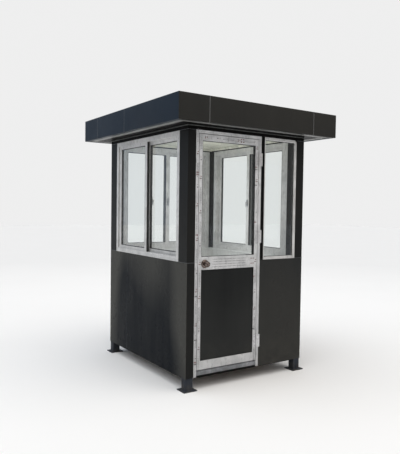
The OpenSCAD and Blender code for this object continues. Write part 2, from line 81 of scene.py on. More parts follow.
# %% A collector of solids
class Shape:
    def __init__(self, place=None):
        self.points, self.faces, self.paints = [], [], []
        self.place = place or Matrix.Identity(4)

    def add(self, points, faces, paint=0):
        start = len(self.points)
        self.points += [self.place @ Vector(p) for p in points]
        self.faces += [[start + i for i in face] for face in faces]
        self.paints += [paint] * len(faces)

    def prism(self, outline, along, start, end, paint=0):
        """Draws a flat outline out along an axis. Its two numbers are the other axes, in order."""
        count = len(outline)
        points = []
        for level in (start, end):
            for u, v in outline:
                spot = {"x": (level, u, v), "y": (u, level, v), "z": (u, v, level)}[along]
                points.append(spot)
        sides = [[i, (i + 1) % count, count + (i + 1) % count, count + i] for i in range(count)]
        self.add(points, [list(range(count)), list(range(count, 2 * count))] + sides, paint)

    def block(self, low, high, paint=0):
        outline = [(low[0], low[1]), (high[0], low[1]), (high[0], high[1]), (low[0], high[1])]
        self.prism(outline, "z", low[2], high[2], paint)

    def sweep(self, rings, paint=0, closed=True):
        """Joins rings of equal count into a band. A closed band's last ring joins its first."""
        count = len(rings[0])
        points = [p for ring in rings for p in ring]
        faces = []
        last = len(rings) if closed else len(rings) - 1
        for k in range(last):
            a, b = k * count, (k + 1) % len(rings) * count
            faces += [[a + i, a + (i + 1) % count, b + (i + 1) % count, b + i] for i in range(count)]
        if not closed:
            faces += [list(range(count)), list(range((len(rings) - 1) * count, len(rings) * count))]
        self.add(points, faces, paint)

    def turned(self, outline, middle, axis, steps=32, paint=0):
        """A turned solid: outline is (radius, distance along the axis), from one end to the other."""
        axis = Vector(axis).normalized()
        side = axis.orthogonal().normalized()
        other = axis.cross(side)
        rings = []
        for radius, along in outline:
            ring = []
            for i in range(steps):
                turn = 2 * math.pi * i / steps
                around = side * math.cos(turn) + other * math.sin(turn)
                ring.append(Vector(middle) + axis * along + around * radius)
            rings.append(ring)
        self.sweep(rings, paint, closed=False)


# %% [markdown]
# ## From a shape to a piece
# Real edges are never razor sharp, and the thin highlight on a small bevel is what makes folded
# metal read as metal. A bevel modifier with an angle limit rounds only the true edges, and hardened
# normals keep the flat faces flat. Turned parts need no bevel: their edges are marked by angle.


# %% Make a piece
pieces = []
SHARP = math.radians(35)


def make(name, shape, materials, body, stands_for=(), bevel=0.0008):
    mesh = bpy.data.meshes.new(name)
    mesh.from_pydata([tuple(p) for p in shape.points], [], shape.faces)
    mesh.polygons.foreach_set("material_index", shape.paints)
    work = bmesh.new()
    work.from_mesh(mesh)
    bmesh.ops.recalc_face_normals(work, faces=work.faces)
    work.to_mesh(mesh)
    work.free()
    for material in materials:
        mesh.materials.append(material)
    mesh.shade_smooth()
    piece = bpy.data.objects.new(name, mesh)
    bpy.context.scene.collection.objects.link(piece)
    if bevel:
        edge = piece.modifiers.new("edges", "BEVEL")
        edge.width, edge.segments = bevel, 2
        edge.limit_method, edge.angle_limit = "ANGLE", SHARP
        edge.harden_normals = True
    else:
        mesh.set_sharp_from_angle(angle=SHARP)
    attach(piece, body)
    if stands_for:
        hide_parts(*stands_for)
    pieces.append(piece)
    print(f"{name}: {len(mesh.polygons)} faces on {body}")
    return piece


# %% [markdown]
# ## Rings for frames
# A window frame is one section led round a rectangle and mitred at the corners. Each point of the
# section is an inset from the opening's edge and a depth, so the same ring maker draws frames,
# rubber seals and beads. A corner may be round, as at the top of the light beside the door.


# %% Outline of a rectangle with round corners
def rounded(x0, z0, x1, z1, radii=(0, 0, 0, 0), steps=6):
    """Corners run from the lower left round to the upper left. Each gives the same count of points."""
    corners = [(x0, z0, 1, 1, 180), (x1, z0, -1, 1, 270), (x1, z1, -1, -1, 0), (x0, z1, 1, -1, 90)]
    outline = []
    for (x, z, right, up, first), radius in zip(corners, radii):
        radius = max(radius, 1e-5)
        for k in range(steps + 1):
            turn = math.radians(first + 90 * k / steps)
            outline.append((x + right * radius + radius * math.cos(turn),
                            z + up * radius + radius * math.sin(turn)))
    return outline


def ring_frame(shape, opening, section, paint=0, corner=None, left_share=1.0):
    """Leads a closed section of (inset, depth) round an opening (x0, z0, x1, z1) in the XZ plane.
    The left bar's face can be narrower than the rest, by its share."""
    x0, z0, x1, z1 = opening
    rings = []
    for inset, depth in section:
        left = x0 + inset * left_share
        if corner is None:
            outline = [(left, z0 + inset), (x1 - inset, z0 + inset),
                       (x1 - inset, z1 - inset), (left, z1 - inset)]
        else:
            radius = max(corner - inset, 0.004)
            outline = rounded(left, z0 + inset, x1 - inset, z1 - inset, (0, 0, radius, 0))
        rings.append([(x, depth, z) for x, z in outline])
    shape.sweep(rings, paint)


# %% [markdown]
# ## Finishes
# A finish is a Principled shader fed by a few noises in the object's own coordinates, so that it
# stays put at the right scale when a piece moves. A short helper adds a node and links its inputs,
# which keeps each finish to the lines that matter.


# %% A helper for nodes
class Finish:
    def __init__(self, name):
        self.material = bpy.data.materials.new(name)
        self.material.use_nodes = True
        self.tree = self.material.node_tree
        self.shader = self.tree.nodes["Principled BSDF"]
        self.where = self.tree.nodes.new("ShaderNodeTexCoord").outputs["Object"]

    def node(self, kind, values=(), **settings):
        made = self.tree.nodes.new("ShaderNode" + kind)
        for key, value in settings.items():
            setattr(made, key, value)
        for key, value in dict(values).items():
            if isinstance(value, bpy.types.NodeSocket):
                self.tree.links.new(value, made.inputs[key])
            else:
                made.inputs[key].default_value = value
        return made

    def noise(self, scale, detail=3.0, rough=0.5, stretch=None, distortion=0.0):
        place = self.where
        if stretch:
            place = self.node("Mapping", {"Vector": place, "Scale": stretch}).outputs[0]
        values = {"Vector": place, "Scale": scale, "Detail": detail, "Roughness": rough,
                  "Distortion": distortion}
        return self.node("TexNoise", values).outputs["Fac"]

    def ramp(self, source, low, high, to_low=0.0, to_high=1.0):
        values = {"Value": source, "From Min": low, "From Max": high, "To Min": to_low, "To Max": to_high}
        return self.node("MapRange", values).outputs["Result"]

    def mix(self, share, first, second):
        made = self.node("Mix", data_type="RGBA")
        for socket, value in zip((made.inputs[0], made.inputs[6], made.inputs[7]), (share, first, second)):
            if isinstance(value, bpy.types.NodeSocket):
                self.tree.links.new(value, socket)
            elif socket == made.inputs[0]:
                socket.default_value = value
            else:
                socket.default_value = (*value, 1.0)
        return made.outputs[2]

    def maths(self, operation, first, second):
        return self.node("Math", {0: first, 1: second}, operation=operation).outputs[0]

    def height(self):
        return self.node("SeparateXYZ", {0: self.where}).outputs["Z"]

    def bump(self, source, distance, strength=1.0, under=None):
        values = {"Height": source, "Distance": distance, "Strength": strength}
        if under is not None:
            values["Normal"] = under
        return self.node("Bump", values).outputs["Normal"]

    def feed(self, **sockets):
        for key, value in sockets.items():
            socket = self.shader.inputs[key.replace("_", " ")]
            if isinstance(value, bpy.types.NodeSocket):
                self.tree.links.new(value, socket)
            elif isinstance(value, tuple):
                socket.default_value = (*value, 1.0)
            else:
                socket.default_value = value
        return self.material


# %% [markdown]
# ### Dark composite sheet
# The cladding is aluminium composite with a dark satin coat. Up close it has a faint sparkle; from
# afar the sheet is never quite flat and never quite clean. Broad soft clouds lead between a cold and
# a warm dark, a painted reflection of sky and ground over some real smudges, and may lean to the
# warm with height, also painted reflection, or towards the ends of a wall, a painted highlight. Dust
# gathers near the ground. One function makes a near twin for each place: lit and shaded copies, each
# with the light on its own faces painted into its darks.


# %% Dark composite sheet
LEAN_HEIGHT = 0.95   # the height at which rise changes nothing
LEAN_DEPTH = 0.5      # how far from the middle the ends begin


def dark_sheet(name, cold, warm, satin, dust=0.5, rise=0.0, ends=0.0, sheen=0.06):
    """Rise and ends are how much warmer the sheet grows per metre of height and towards its ends.
    The first is a painted reflection, the second a painted highlight.
    """
    f = Finish(name)
    # Painted reflection: the sheet leans warmer with height, and a painted highlight warms it towards a
    # wall's ends
    lifted = f.maths("MULTIPLY", f.maths("SUBTRACT", f.height(), LEAN_HEIGHT), rise)
    depth = f.node("SeparateXYZ", {0: f.where}).outputs["Y"]
    past_middle = f.maths("SUBTRACT", f.maths("ABSOLUTE", depth, 0.0), LEAN_DEPTH)
    off_middle = f.maths("MAXIMUM", past_middle, 0.0)
    reflection_lean = f.maths("ADD", lifted, f.maths("MULTIPLY", off_middle, ends))
    # Painted reflection over some real smudges: clouds from a cold dark, as where sky is mirrored, to a
    # warm dark, as where ground is mirrored
    smudges_and_reflection = f.ramp(f.maths("ADD", f.noise(1.3, 1.0, 0.4), reflection_lean), 0.22, 0.86)
    streaks = f.ramp(f.noise(9.0, 4.0, 0.6, stretch=(1.0, 1.0, 0.12)), 0.3, 0.75, 0.0, 0.16)
    colour = f.mix(smudges_and_reflection, cold, warm)
    colour = f.mix(streaks, colour, tuple(1.5 * c for c in warm))
    grains = f.ramp(f.noise(1400.0, 1.0, 0.5), 0.62, 0.78, 0.0, 0.25)
    colour = f.mix(grains, colour, (0.045, 0.046, 0.048))
    low = f.ramp(f.height(), 0.42, 0.08, 0.0, 1.0)
    patches = f.ramp(f.noise(6.0, 6.0, 0.65), 0.42, 0.75)
    dusty = f.maths("MULTIPLY", f.maths("MULTIPLY", low, patches), dust)
    colour = f.mix(dusty, colour, (0.075, 0.070, 0.060))
    gloss = f.ramp(f.noise(3.5, 5.0, 0.6), 0.3, 0.7, satin - 0.06, satin + 0.08)
    rough = f.maths("ADD", gloss, f.maths("MULTIPLY", dusty, 0.3))
    wavy = f.bump(f.noise(2.6, 1.0, 0.4), 0.004, 0.35)
    peel = f.bump(f.noise(420.0, 2.0, 0.5), 0.00012, 0.5, under=wavy)
    return f.feed(Base_Color=colour, Roughness=rough, Normal=peel, Specular_IOR_Level=sheen)


# Lit and shaded copies follow: each twin's darks hold the painted light and reflection falling on its own
# faces, the front one leaning warmer towards the bottom
cladding_finish = dark_sheet("dark_composite", (0.0030, 0.0050, 0.0082), (0.0560, 0.0560, 0.0520),
                             satin=0.28, dust=0.15, rise=0.7, ends=2.8, sheen=0.02)
front_cladding_finish = dark_sheet("dark_composite_front", (0.0190, 0.0205, 0.0215),
                                   (0.0330, 0.0325, 0.0300), satin=0.30, rise=-0.25)
# The side and back roof edges carry a painted blue reflection of the sky, the front edge a neutral one
fascia_finish = dark_sheet("dark_composite_edge", (0.0115, 0.0195, 0.0320), (0.0165, 0.0220, 0.0305),
                           satin=0.36, dust=0.0)
front_fascia_finish = dark_sheet("dark_composite_edge_front", (0.0235, 0.0235, 0.0225),
                                 (0.0290, 0.0280, 0.0255), satin=0.36, dust=0.0)
casing_finish = dark_sheet("dark_composite_casing", (0.0105, 0.0112, 0.0115), (0.0150, 0.0147, 0.0140),
                           satin=0.38, dust=0.0)

# %% [markdown]
# ### Film on bright aluminium
# The window and door bars are mill-bright aluminium that still wears its pale protective film. The
# film hides most of the metal, so the colour is a pale grey with a cooler and a warmer patch here
# and there, drawn out along the bars, and with small bubbles and scuffs in the gloss.


# %% Film on aluminium
def filmed_alloy(name, pale, shade, grime=0.0):
    f = Finish(name)
    patches = f.ramp(f.noise(7.0, 5.0, 0.6, distortion=0.6), 0.36, 0.64)
    colour = f.mix(patches, pale, shade)
    scuffs = f.ramp(f.noise(60.0, 6.0, 0.7, stretch=(1.0, 1.0, 0.35)), 0.54, 0.68, 0.0, 0.75)
    colour = f.mix(scuffs, colour, tuple(0.55 * c for c in shade))
    specks = f.ramp(f.noise(330.0, 2.0, 0.5), 0.68, 0.74, 0.0, 0.55)
    colour = f.mix(specks, colour, (0.10, 0.09, 0.085))
    low = f.ramp(f.height(), 0.3, 0.1, 0.0, 1.0)
    dirt = f.ramp(f.noise(13.0, 8.0, 0.7), 0.38, 0.66)
    dirty = f.maths("MULTIPLY", f.maths("MULTIPLY", low, dirt), 0.25 + grime)
    colour = f.mix(dirty, colour, (0.075, 0.078, 0.085))
    # Painted shade darkens the lower half of every bar, so that the bars read lighter at the top
    lower_half_shade = f.ramp(f.height(), 1.8, 0.6, 0.0, 0.28)
    colour = f.mix(lower_half_shade, colour, tuple(0.3 * c for c in shade))
    rough = f.ramp(f.noise(40.0, 4.0, 0.6), 0.3, 0.7, 0.26, 0.44)
    bubbles = f.node("TexVoronoi", {"Vector": f.where, "Scale": 140.0}).outputs["Distance"]
    lumps = f.bump(f.ramp(bubbles, 0.0, 0.12, 1.0, 0.0), 0.0002, 0.3)
    wrinkles = f.bump(f.noise(55.0, 3.0, 0.55, distortion=1.2), 0.0006, 0.25, under=lumps)
    return f.feed(Base_Color=colour, Roughness=rough, Normal=wrinkles, Metallic=0.15)


alloy_finish = filmed_alloy("filmed_alloy", (0.66, 0.66, 0.655), (0.50, 0.50, 0.495))
door_alloy_finish = filmed_alloy("filmed_alloy_door", (0.67, 0.675, 0.685), (0.50, 0.505, 0.515))
sill_alloy_finish = filmed_alloy("alloy_threshold", (0.33, 0.34, 0.36), (0.17, 0.18, 0.20), 0.7)

# %% [markdown]
# ### Clear glass
# A pane this thin neither bends nor darkens what is behind it. A mix of a clear and a mirroring
# shader, led by Fresnel, shows both what is inside and the gleam on top, renders without noise and
# lets light into the booth. Real refraction would need a thick pane and many more samples.

# %% Clear glass
glass = Finish("clear_glass")
glass_clear = glass.node("BsdfTransparent", {"Color": (0.965, 0.975, 0.970, 1.0)})
smears = glass.ramp(glass.noise(5.0, 6.0, 0.65, stretch=(1.0, 1.0, 0.5)), 0.45, 0.8, 0.01, 0.12)
glass_gleam = glass.node("BsdfGlossy", {"Color": (0.9, 0.95, 1.0, 1.0), "Roughness": smears})
# Only the side that faces out mirrors, or each pane would mirror from within as well
front_side = glass.maths("SUBTRACT", 1.0, glass.node("NewGeometry").outputs["Backfacing"])
gleam_share = glass.maths("MULTIPLY", glass.node("Fresnel", {"IOR": 1.5}).outputs[0], front_side)
glass_mix = glass.node("MixShader", {0: gleam_share, 1: glass_clear.outputs[0], 2: glass_gleam.outputs[0]})
glass.tree.links.new(glass_mix.outputs[0], glass.tree.nodes["Material Output"].inputs["Surface"])
glass.tree.nodes.remove(glass.shader)
glass_finish = glass.material

# %% [markdown]
# ### Rubber, sealant and film print
# Seals are black rubber with a grey bloom of dust, and beads of sealant are the same with a paler
# base, so one function serves both. The print on the film is a red ink worn thin in spots.


# %% Rubber and sealant
def dull_black(name, base, dusting):
    f = Finish(name)
    bloom = f.ramp(f.noise(90.0, 5.0, 0.6), 0.4, 0.75, 0.0, dusting)
    colour = f.mix(bloom, base, (0.11, 0.11, 0.105))
    rough = f.ramp(f.noise(200.0, 2.0, 0.5), 0.3, 0.7, 0.5, 0.72)
    grain = f.bump(f.noise(900.0, 2.0, 0.5), 0.0001, 0.4)
    return f.feed(Base_Color=colour, Roughness=rough, Normal=grain)


rubber_finish = dull_black("black_rubber", (0.008, 0.008, 0.009), 0.25)
print_dark_finish = dull_black("film_print_dark", (0.045, 0.042, 0.048), 0.2)


# %% Film print in red brown
def film_print():
    f = Finish("film_print_red")
    worn = f.ramp(f.noise(260.0, 4.0, 0.6), 0.35, 0.65)
    colour = f.mix(worn, (0.085, 0.014, 0.015), (0.19, 0.065, 0.065))
    rough = f.ramp(worn, 0.0, 1.0, 0.35, 0.55)
    return f.feed(Base_Color=colour, Roughness=rough)


print_red_finish = film_print()

# %% [markdown]
# ### Painted steel
# Posts, feet and beams are steel in a blue-black paint, brushed on after welding. Near the ground
# the paint is dusty, chipped at random and rusty round the base plates.


# %% Painted steel
def painted_steel(name, base, wear):
    f = Finish(name)
    tone = f.ramp(f.noise(8.0, 4.0, 0.55), 0.35, 0.65)
    colour = f.mix(tone, base, tuple(1.5 * c for c in base))
    low = f.ramp(f.height(), 0.12, 0.0, 0.0, 1.0)
    dust = f.maths("MULTIPLY", low, f.ramp(f.noise(22.0, 7.0, 0.7), 0.4, 0.68))
    colour = f.mix(f.maths("MULTIPLY", dust, wear), colour, (0.085, 0.078, 0.068))
    chips = f.ramp(f.noise(75.0, 5.0, 0.65), 0.63, 0.67)
    rust = f.mix(f.noise(300.0, 4.0, 0.7), (0.085, 0.03, 0.012), (0.23, 0.095, 0.04))
    colour = f.mix(f.maths("MULTIPLY", f.maths("MULTIPLY", chips, low), wear), colour, rust)
    rough = f.ramp(f.noise(35.0, 5.0, 0.6), 0.3, 0.7, 0.36, 0.56)
    brushed = f.bump(f.noise(160.0, 3.0, 0.5, stretch=(1.0, 1.0, 0.2)), 0.0002, 0.4)
    return f.feed(Base_Color=colour, Roughness=rough, Normal=brushed, Specular_IOR_Level=0.05)


post_finish = painted_steel("painted_steel_feet", (0.022, 0.026, 0.034), 0.8)
beam_finish = painted_steel("painted_steel_beam", (0.0028, 0.0028, 0.0027), 0.0)


# %% [markdown]
# ### Boards
# The boards of the ceiling, lining and soffit are pale moulded plastic with faint streaks along
# them. A noise squeezed along one axis gives the streaks, and each use names its own axis.


# %% Plastic boards
def board(name, pale, stretch, depth=0.82):
    f = Finish(name)
    streaks = f.ramp(f.noise(30.0, 5.0, 0.6, stretch=stretch), 0.35, 0.68)
    colour = f.mix(streaks, pale, tuple(depth * c for c in pale))
    stains = f.ramp(f.noise(5.0, 6.0, 0.6), 0.55, 0.78, 0.0, 0.3)
    colour = f.mix(stains, colour, tuple(0.6 * c for c in pale))
    rough = f.ramp(streaks, 0.0, 1.0, 0.38, 0.55)
    grain = f.bump(f.noise(120.0, 4.0, 0.6, stretch=stretch), 0.0002, 0.4)
    return f.feed(Base_Color=colour, Roughness=rough, Normal=grain)


ceiling_finish = board("ceiling_board", (0.70, 0.70, 0.60), (0.15, 1.0, 1.0), 0.55)
inner_finish = board("wall_lining", (0.62, 0.63, 0.62), (1.0, 1.0, 0.15))
soffit_finish = board("soffit_board", (0.19, 0.193, 0.185), (1.0, 0.15, 1.0))
floor_finish = board("floor_board", (0.24, 0.19, 0.14), (1.0, 0.12, 1.0))

# %% [markdown]
# ### Coated roof sheet
# The roof is pale coated steel that dust settles on. The dust is drawn out along the pans, where
# rain leaves it, and it is rougher than the coat, so one value leads both colour and roughness.


# %% Roof coat
def roof_coat():
    f = Finish("roof_coat")
    tone = f.ramp(f.noise(3.0, 4.0, 0.55), 0.35, 0.65)
    colour = f.mix(tone, (0.44, 0.46, 0.48), (0.36, 0.38, 0.40))
    dust = f.ramp(f.noise(7.0, 8.0, 0.7, stretch=(1.0, 0.35, 1.0)), 0.42, 0.7, 0.0, 0.6)
    colour = f.mix(dust, colour, (0.30, 0.27, 0.23))
    rough = f.ramp(dust, 0.0, 0.6, 0.36, 0.7)
    spangle = f.bump(f.noise(240.0, 2.0, 0.5), 0.0001, 0.3)
    return f.feed(Base_Color=colour, Roughness=rough, Normal=spangle, Metallic=0.4)


roof_finish = roof_coat()

# %% [markdown]
# ### Plated metals
# The lock set is dark bronze plate, and the hinges are bright brushed zinc. Both are full metals
# whose colour is in the reflection; fine brushing breaks it up, and tarnish dulls it in spots.


# %% Plated metals
def plated(name, base, dark, low_gloss, high_gloss, scale=(1.0, 1.0, 0.1)):
    f = Finish(name)
    brushed = f.noise(420.0, 4.0, 0.6, stretch=scale)
    tarnish = f.ramp(f.noise(45.0, 5.0, 0.65), 0.42, 0.72)
    colour = f.mix(tarnish, base, dark)
    rough = f.ramp(brushed, 0.3, 0.7, low_gloss, high_gloss)
    lines = f.bump(brushed, 0.00008, 0.4)
    return f.feed(Base_Color=colour, Roughness=rough, Normal=lines, Metallic=1.0)


bronze_finish = plated("dark_bronze", (0.19, 0.155, 0.14), (0.075, 0.06, 0.054), 0.13, 0.26, (1, 1, 1))
zinc_finish = plated("brushed_zinc", (0.62, 0.62, 0.63), (0.42, 0.42, 0.43), 0.24, 0.42)
print("finishes:", len(bpy.data.materials))

# %% [markdown]
# ## Feet and corner posts
# Each post is a square tube with round corners, welded to a base plate with four anchor holes. A
# plate with holes could be cut by a boolean; four quarter plates, each a band from a round hole to
# a square edge, give cleaner faces and need no cut at all.

# %% A plate quarter round one hole
post_tube, plate_side, plate_t = 0.075, 0.130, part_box("corner_post_front_left")[0].z + 0.008
anchor_pitch, anchor_r = 0.100, 0.007
tube_corner_r = 0.006


def square_hit(turn, middle, low, high):
    """Where a ray from the hole's middle meets the quarter's square edge."""
    reach = []
    for k, step in enumerate((math.cos(turn), math.sin(turn))):
        if abs(step) > 1e-9:
            reach.append(((high[k] if step > 0 else low[k]) - middle[k]) / step)
    return middle[0] + min(reach) * math.cos(turn), middle[1] + min(reach) * math.sin(turn)


def plate_quarter(shape, centre, sx, sy):
    """A band from one anchor hole to the edge of its quarter, which the signs put in its corner."""
    quarter, middle = plate_side / 2, (anchor_pitch / 2, anchor_pitch / 2)
    low, high = (0.0, 0.0), (quarter, quarter)
    corners = [math.atan2(y - middle[1], x - middle[0]) for x in (0.0, quarter) for y in (0.0, quarter)]
    turns = sorted(corners + [math.radians(11.25 * k - 180) for k in range(32)])
    rings = []
    for is_hole, z in ((True, 0.0), (False, 0.0), (False, plate_t), (True, plate_t)):
        ring = []
        for turn in turns:
            if is_hole:
                x, y = middle[0] + anchor_r * math.cos(turn), middle[1] + anchor_r * math.sin(turn)
            else:
                x, y = square_hit(turn, middle, low, high)
            ring.append((centre[0] + sx * x, centre[1] + sy * y, z))
        rings.append(ring)
    shape.sweep(rings)


# %% A weld round a tube
def weld_bead(shape, centre, side, z, size=0.006):
    """A rope of small ripples round the foot of a square tube."""
    rings = []
    sunk = 0.001
    path = rounded(-side / 2, -side / 2, side / 2, side / 2, [tube_corner_r] * 4, 4)
    for k, (x, y) in enumerate(path):
        follow = path[(k + 1) % len(path)]
        for part in range(3):
            mid = (x + (follow[0] - x) * part / 3, y + (follow[1] - y) * part / 3)
            swell = size * (0.85 + 0.15 * math.sin(2.1 * (3 * k + part)))
            away = Vector((mid[0], mid[1], 0)).normalized()
            base = Vector((centre[0] + mid[0], centre[1] + mid[1], z))
            crown = base + away * swell * 0.6 + Vector((0, 0, swell * 0.6))
            rings.append([base - away * sunk, base + away * swell, crown,
                          base + Vector((0, 0, swell)) - away * sunk])
    shape.sweep(rings)


# %% Four posts
for side_name in ("left", "right"):
    for end_name in ("front", "back"):
        node_name = f"corner_post_{end_name}_{side_name}"
        low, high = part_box(node_name)
        centre = ((low.x + high.x) / 2, (low.y + high.y) / 2)
        post = Shape()
        for qx in (-1, 1):
            for qy in (-1, 1):
                plate_quarter(post, centre, qx, qy)
        outline = rounded(centre[0] - post_tube / 2, centre[1] - post_tube / 2,
                          centre[0] + post_tube / 2, centre[1] + post_tube / 2, [tube_corner_r] * 4)
        post.prism(outline, "z", plate_t, high.z)
        weld_bead(post, centre, post_tube, plate_t)
        make(f"steel_post_{end_name}_{side_name}", post, [post_finish], "booth",
             [node_name], bevel=0)

# %% [markdown]
# ## Lower cladding
# Composite sheets are folded or butted at the corners, with a narrow seam filled by a grey bead of
# sealant. Each sheet is a thin plate whose bevelled edges catch the light, and the seam gets a flat
# bead of its own, set back a hair behind the faces.

# %% Lower cladding sheets
seam_w, bead_back = 0.004, 0.0008
side_seam_y = -half_d + 1.220
lip_w, lip_t = 0.020, 0.0012
bead_finish = dull_black("grey_sealant", (0.09, 0.10, 0.115), 0.5)

for side_name, s in (("left", -1), ("right", 1)):
    cladding = Shape()
    outer, inner = s * half_w, s * (half_w - sheet_t)
    x0, x1 = min(outer, inner), max(outer, inner)
    lip = s * (half_w - lip_w)
    fold_x0, fold_x1 = min(outer, lip), max(outer, lip)
    for y0, y1 in ((-half_d, side_seam_y - seam_w / 2), (side_seam_y + seam_w / 2, half_d)):
        cladding.block((x0, y0, base_z), (x1, y1, sill_z))
        # Folded bottom edge, turned in under the floor frame
        cladding.block((fold_x0, y0, base_z), (fold_x1, y1, base_z + lip_t))
    bead = outer - s * bead_back
    cladding.block((min(bead, inner), side_seam_y - seam_w / 2, base_z),
                   (max(bead, inner), side_seam_y + seam_w / 2, sill_z), paint=1)
    make(f"{side_name}_lower_sheets", cladding, [cladding_finish, bead_finish], "booth",
         [f"{side_name}_cladding"])

# %% Front and back sheets
clad_x = half_w - sheet_t - fit
door_left, door_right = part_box("door_frame")[0].x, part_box("door_frame")[1].x

front_sheets = Shape()
for x0, x1, paint in ((-clad_x, door_left - fit, 1), (door_right + fit, clad_x, 0)):
    front_sheets.block((x0, -half_d, base_z), (x1, -half_d + sheet_t, sill_z), paint)
    front_sheets.block((x0, -half_d, base_z), (x1, -half_d + lip_w, base_z + lip_t), paint)
make("front_lower_sheets", front_sheets, [front_cladding_finish, casing_finish], "booth",
     ["front_cladding"])

back_sheets = Shape()
back_sheets.block((-clad_x, half_d - sheet_t, base_z), (clad_x, half_d, sill_z))
back_sheets.block((-clad_x, half_d - lip_w, base_z), (clad_x, half_d, base_z + lip_t))
make("back_lower_sheet", back_sheets, [cladding_finish], "booth", ["back_cladding"])

# %% [markdown]
# ## Corner casings and their thin bright joints
# Above the sill each post is wrapped by a folded casing. Where it meets the lower sheet, and again
# at the head, the cut edges of the composite show as a thin bright line. A strip two millimetres
# high, standing a hair proud, gives that line at any distance.

# %% Corner casings
wall_t = half_w - inner_w
post_reach = door_left + half_w - fit
casing_top = head_z - fit
window_low, window_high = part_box("left_window_frame")
side_strip = window_low.y + half_d
end_strip = half_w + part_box("back_window_frame")[0].x
casings, joints = Shape(), Shape()
joint_t, joint_proud, joint_in = 0.0022, 0.0006, 0.010
for sx, sy, front_w in ((-1, -1, post_reach), (1, -1, end_strip), (-1, 1, end_strip), (1, 1, end_strip)):
    outline = [(0, 0), (front_w, 0), (front_w, wall_t), (min(front_w, wall_t), wall_t),
               (min(front_w, wall_t), side_strip), (0, side_strip)]
    if front_w <= wall_t:
        outline = [(0, 0), (front_w, 0), (front_w, side_strip), (0, side_strip)]
    corner = [(sx * (half_w - x), sy * (half_d - y)) for x, y in outline]
    casings.prism(corner, "z", sill_z + joint_t, casing_top - joint_t)
    skirt = [(-joint_proud, -joint_proud), (front_w, -joint_proud), (front_w, joint_in),
             (joint_in, joint_in), (joint_in, side_strip), (-joint_proud, side_strip)]
    skirt = [(sx * (half_w - x), sy * (half_d - y)) for x, y in skirt]
    joints.prism(skirt, "z", sill_z + fit, sill_z + joint_t)
    joints.prism(skirt, "z", casing_top - joint_t, casing_top)
make("corner_casing_sheets", casings, [casing_finish], "booth", ["corner_casings"],
     bevel=0.0015)
edge_finish = plated("cut_edge", (0.20, 0.21, 0.22), (0.10, 0.105, 0.11), 0.35, 0.55)
make("casing_joint_lines", joints, [edge_finish], "booth", bevel=0.0003)

# %% [markdown]
# ## Mullion and head beam
# The dark post beside the door and the beam over the walls are steel tubes. The post has a shallow
# groove down its face. The beam runs round all four walls, and four mitred bars give it, each drawn
# up from a flat outline.

# %% Mullion and head beam
low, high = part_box("mullion")
mullion = Shape()
groove, groove_edge = 0.0015, 0.009
groove_foot = groove_edge + groove
mullion.prism([(low.x, low.y), (low.x + groove_edge, low.y), (low.x + groove_foot, low.y + groove),
               (high.x - groove_foot, low.y + groove), (high.x - groove_edge, low.y), (high.x, low.y),
               (high.x, high.y), (low.x, high.y)], "z", low.z, high.z)
make("door_mullion", mullion, [beam_finish], "booth", ["mullion"])

beam = Shape()
mitre = [(-half_w, -half_d), (half_w, -half_d), (half_w, half_d), (-half_w, half_d)]
inside = [(-inner_w, -inner_d), (inner_w, -inner_d), (inner_w, inner_d), (-inner_w, inner_d)]
for k in range(4):
    follow = (k + 1) % 4
    beam.prism([mitre[k], mitre[follow], inside[follow], inside[k]], "z", head_z, beam_top_z)
make("head_beam_bars", beam, [beam_finish], "booth", ["head_beam"], bevel=0.002)

# %% [markdown]
# ## Roof edge
# The deep dark roof edge is folded sheet: a face, a fold at the top and one under the soffit. One
# C-shaped section drawn out between mitred ends gives each run, and the seams between runs hold a
# pale bead. The section bends with small round folds, because a brake never folds sharp.

# %% Folded roof edge
fold_w, fold_r = 0.040, 0.004
end_seam, side_seams, seam_back = 0.290, (1.050, 1.720), 0.0006


def fold_section():
    """The C-shaped section as (inset from the face, height), with round outer folds."""
    points = []
    for middle_z, first in ((soffit_z + fold_r, 270), (roof_z - fold_r, 180)):
        for k in range(5):
            turn = math.radians(first - 22.5 * k)
            points.append((fold_r + fold_r * math.cos(turn), middle_z + fold_r * math.sin(turn)))
    return [(fold_w, soffit_z)] + points + [(fold_w, roof_z), (fold_w, roof_z - sheet_t),
            (sheet_t, roof_z - sheet_t), (sheet_t, soffit_z + sheet_t), (fold_w, soffit_z + sheet_t)]


def edge_run(shape, along_low, along_high, mitre_low, mitre_high, put, paint=0, sink=0.0):
    """A run of the section from one seam or corner to the next; a mitred end follows the inset."""
    rings = []
    for along, mitred, way in ((along_low, mitre_low, 1), (along_high, mitre_high, -1)):
        rings.append([put(along + (way * inset if mitred else 0.0), inset + sink, z)
                      for inset, z in fold_section()])
    shape.sweep(rings, paint, closed=False)


def roof_edge(name, node_name, half_len, seams, put, finish=fascia_finish):
    stops = [-half_len + fit] + [-half_len + s for s in seams] + [half_len - fit]
    edge = Shape()
    for k in range(len(stops) - 1):
        first, last = k == 0, k == len(stops) - 2
        start = stops[k] + (0 if first else seam_w / 2)
        end = stops[k + 1] - (0 if last else seam_w / 2)
        edge_run(edge, start, end, first, last, put)
        if not last:
            seam_start, seam_end = stops[k + 1] - seam_w / 2, stops[k + 1] + seam_w / 2
            edge_run(edge, seam_start, seam_end, False, False, put, paint=1, sink=seam_back)
    make(name, edge, [finish, seam_finish], "booth", [node_name], bevel=0)


seam_finish = dull_black("pale_sealant", (0.19, 0.195, 0.20), 0.2)
front_seams = (end_seam, 2 * roof_w - end_seam)
roof_edge("front_roof_edge", "front_fascia", roof_w, front_seams, lambda a, d, z: (a, -roof_d + d, z),
          front_fascia_finish)
roof_edge("back_roof_edge", "back_fascia", roof_w, front_seams, lambda a, d, z: (-a, roof_d - d, z))
roof_edge("left_roof_edge", "left_fascia", roof_d, side_seams, lambda a, d, z: (-roof_w + d, a, z))
roof_edge("right_roof_edge", "right_fascia", roof_d, side_seams, lambda a, d, z: (roof_w - d, a, z))
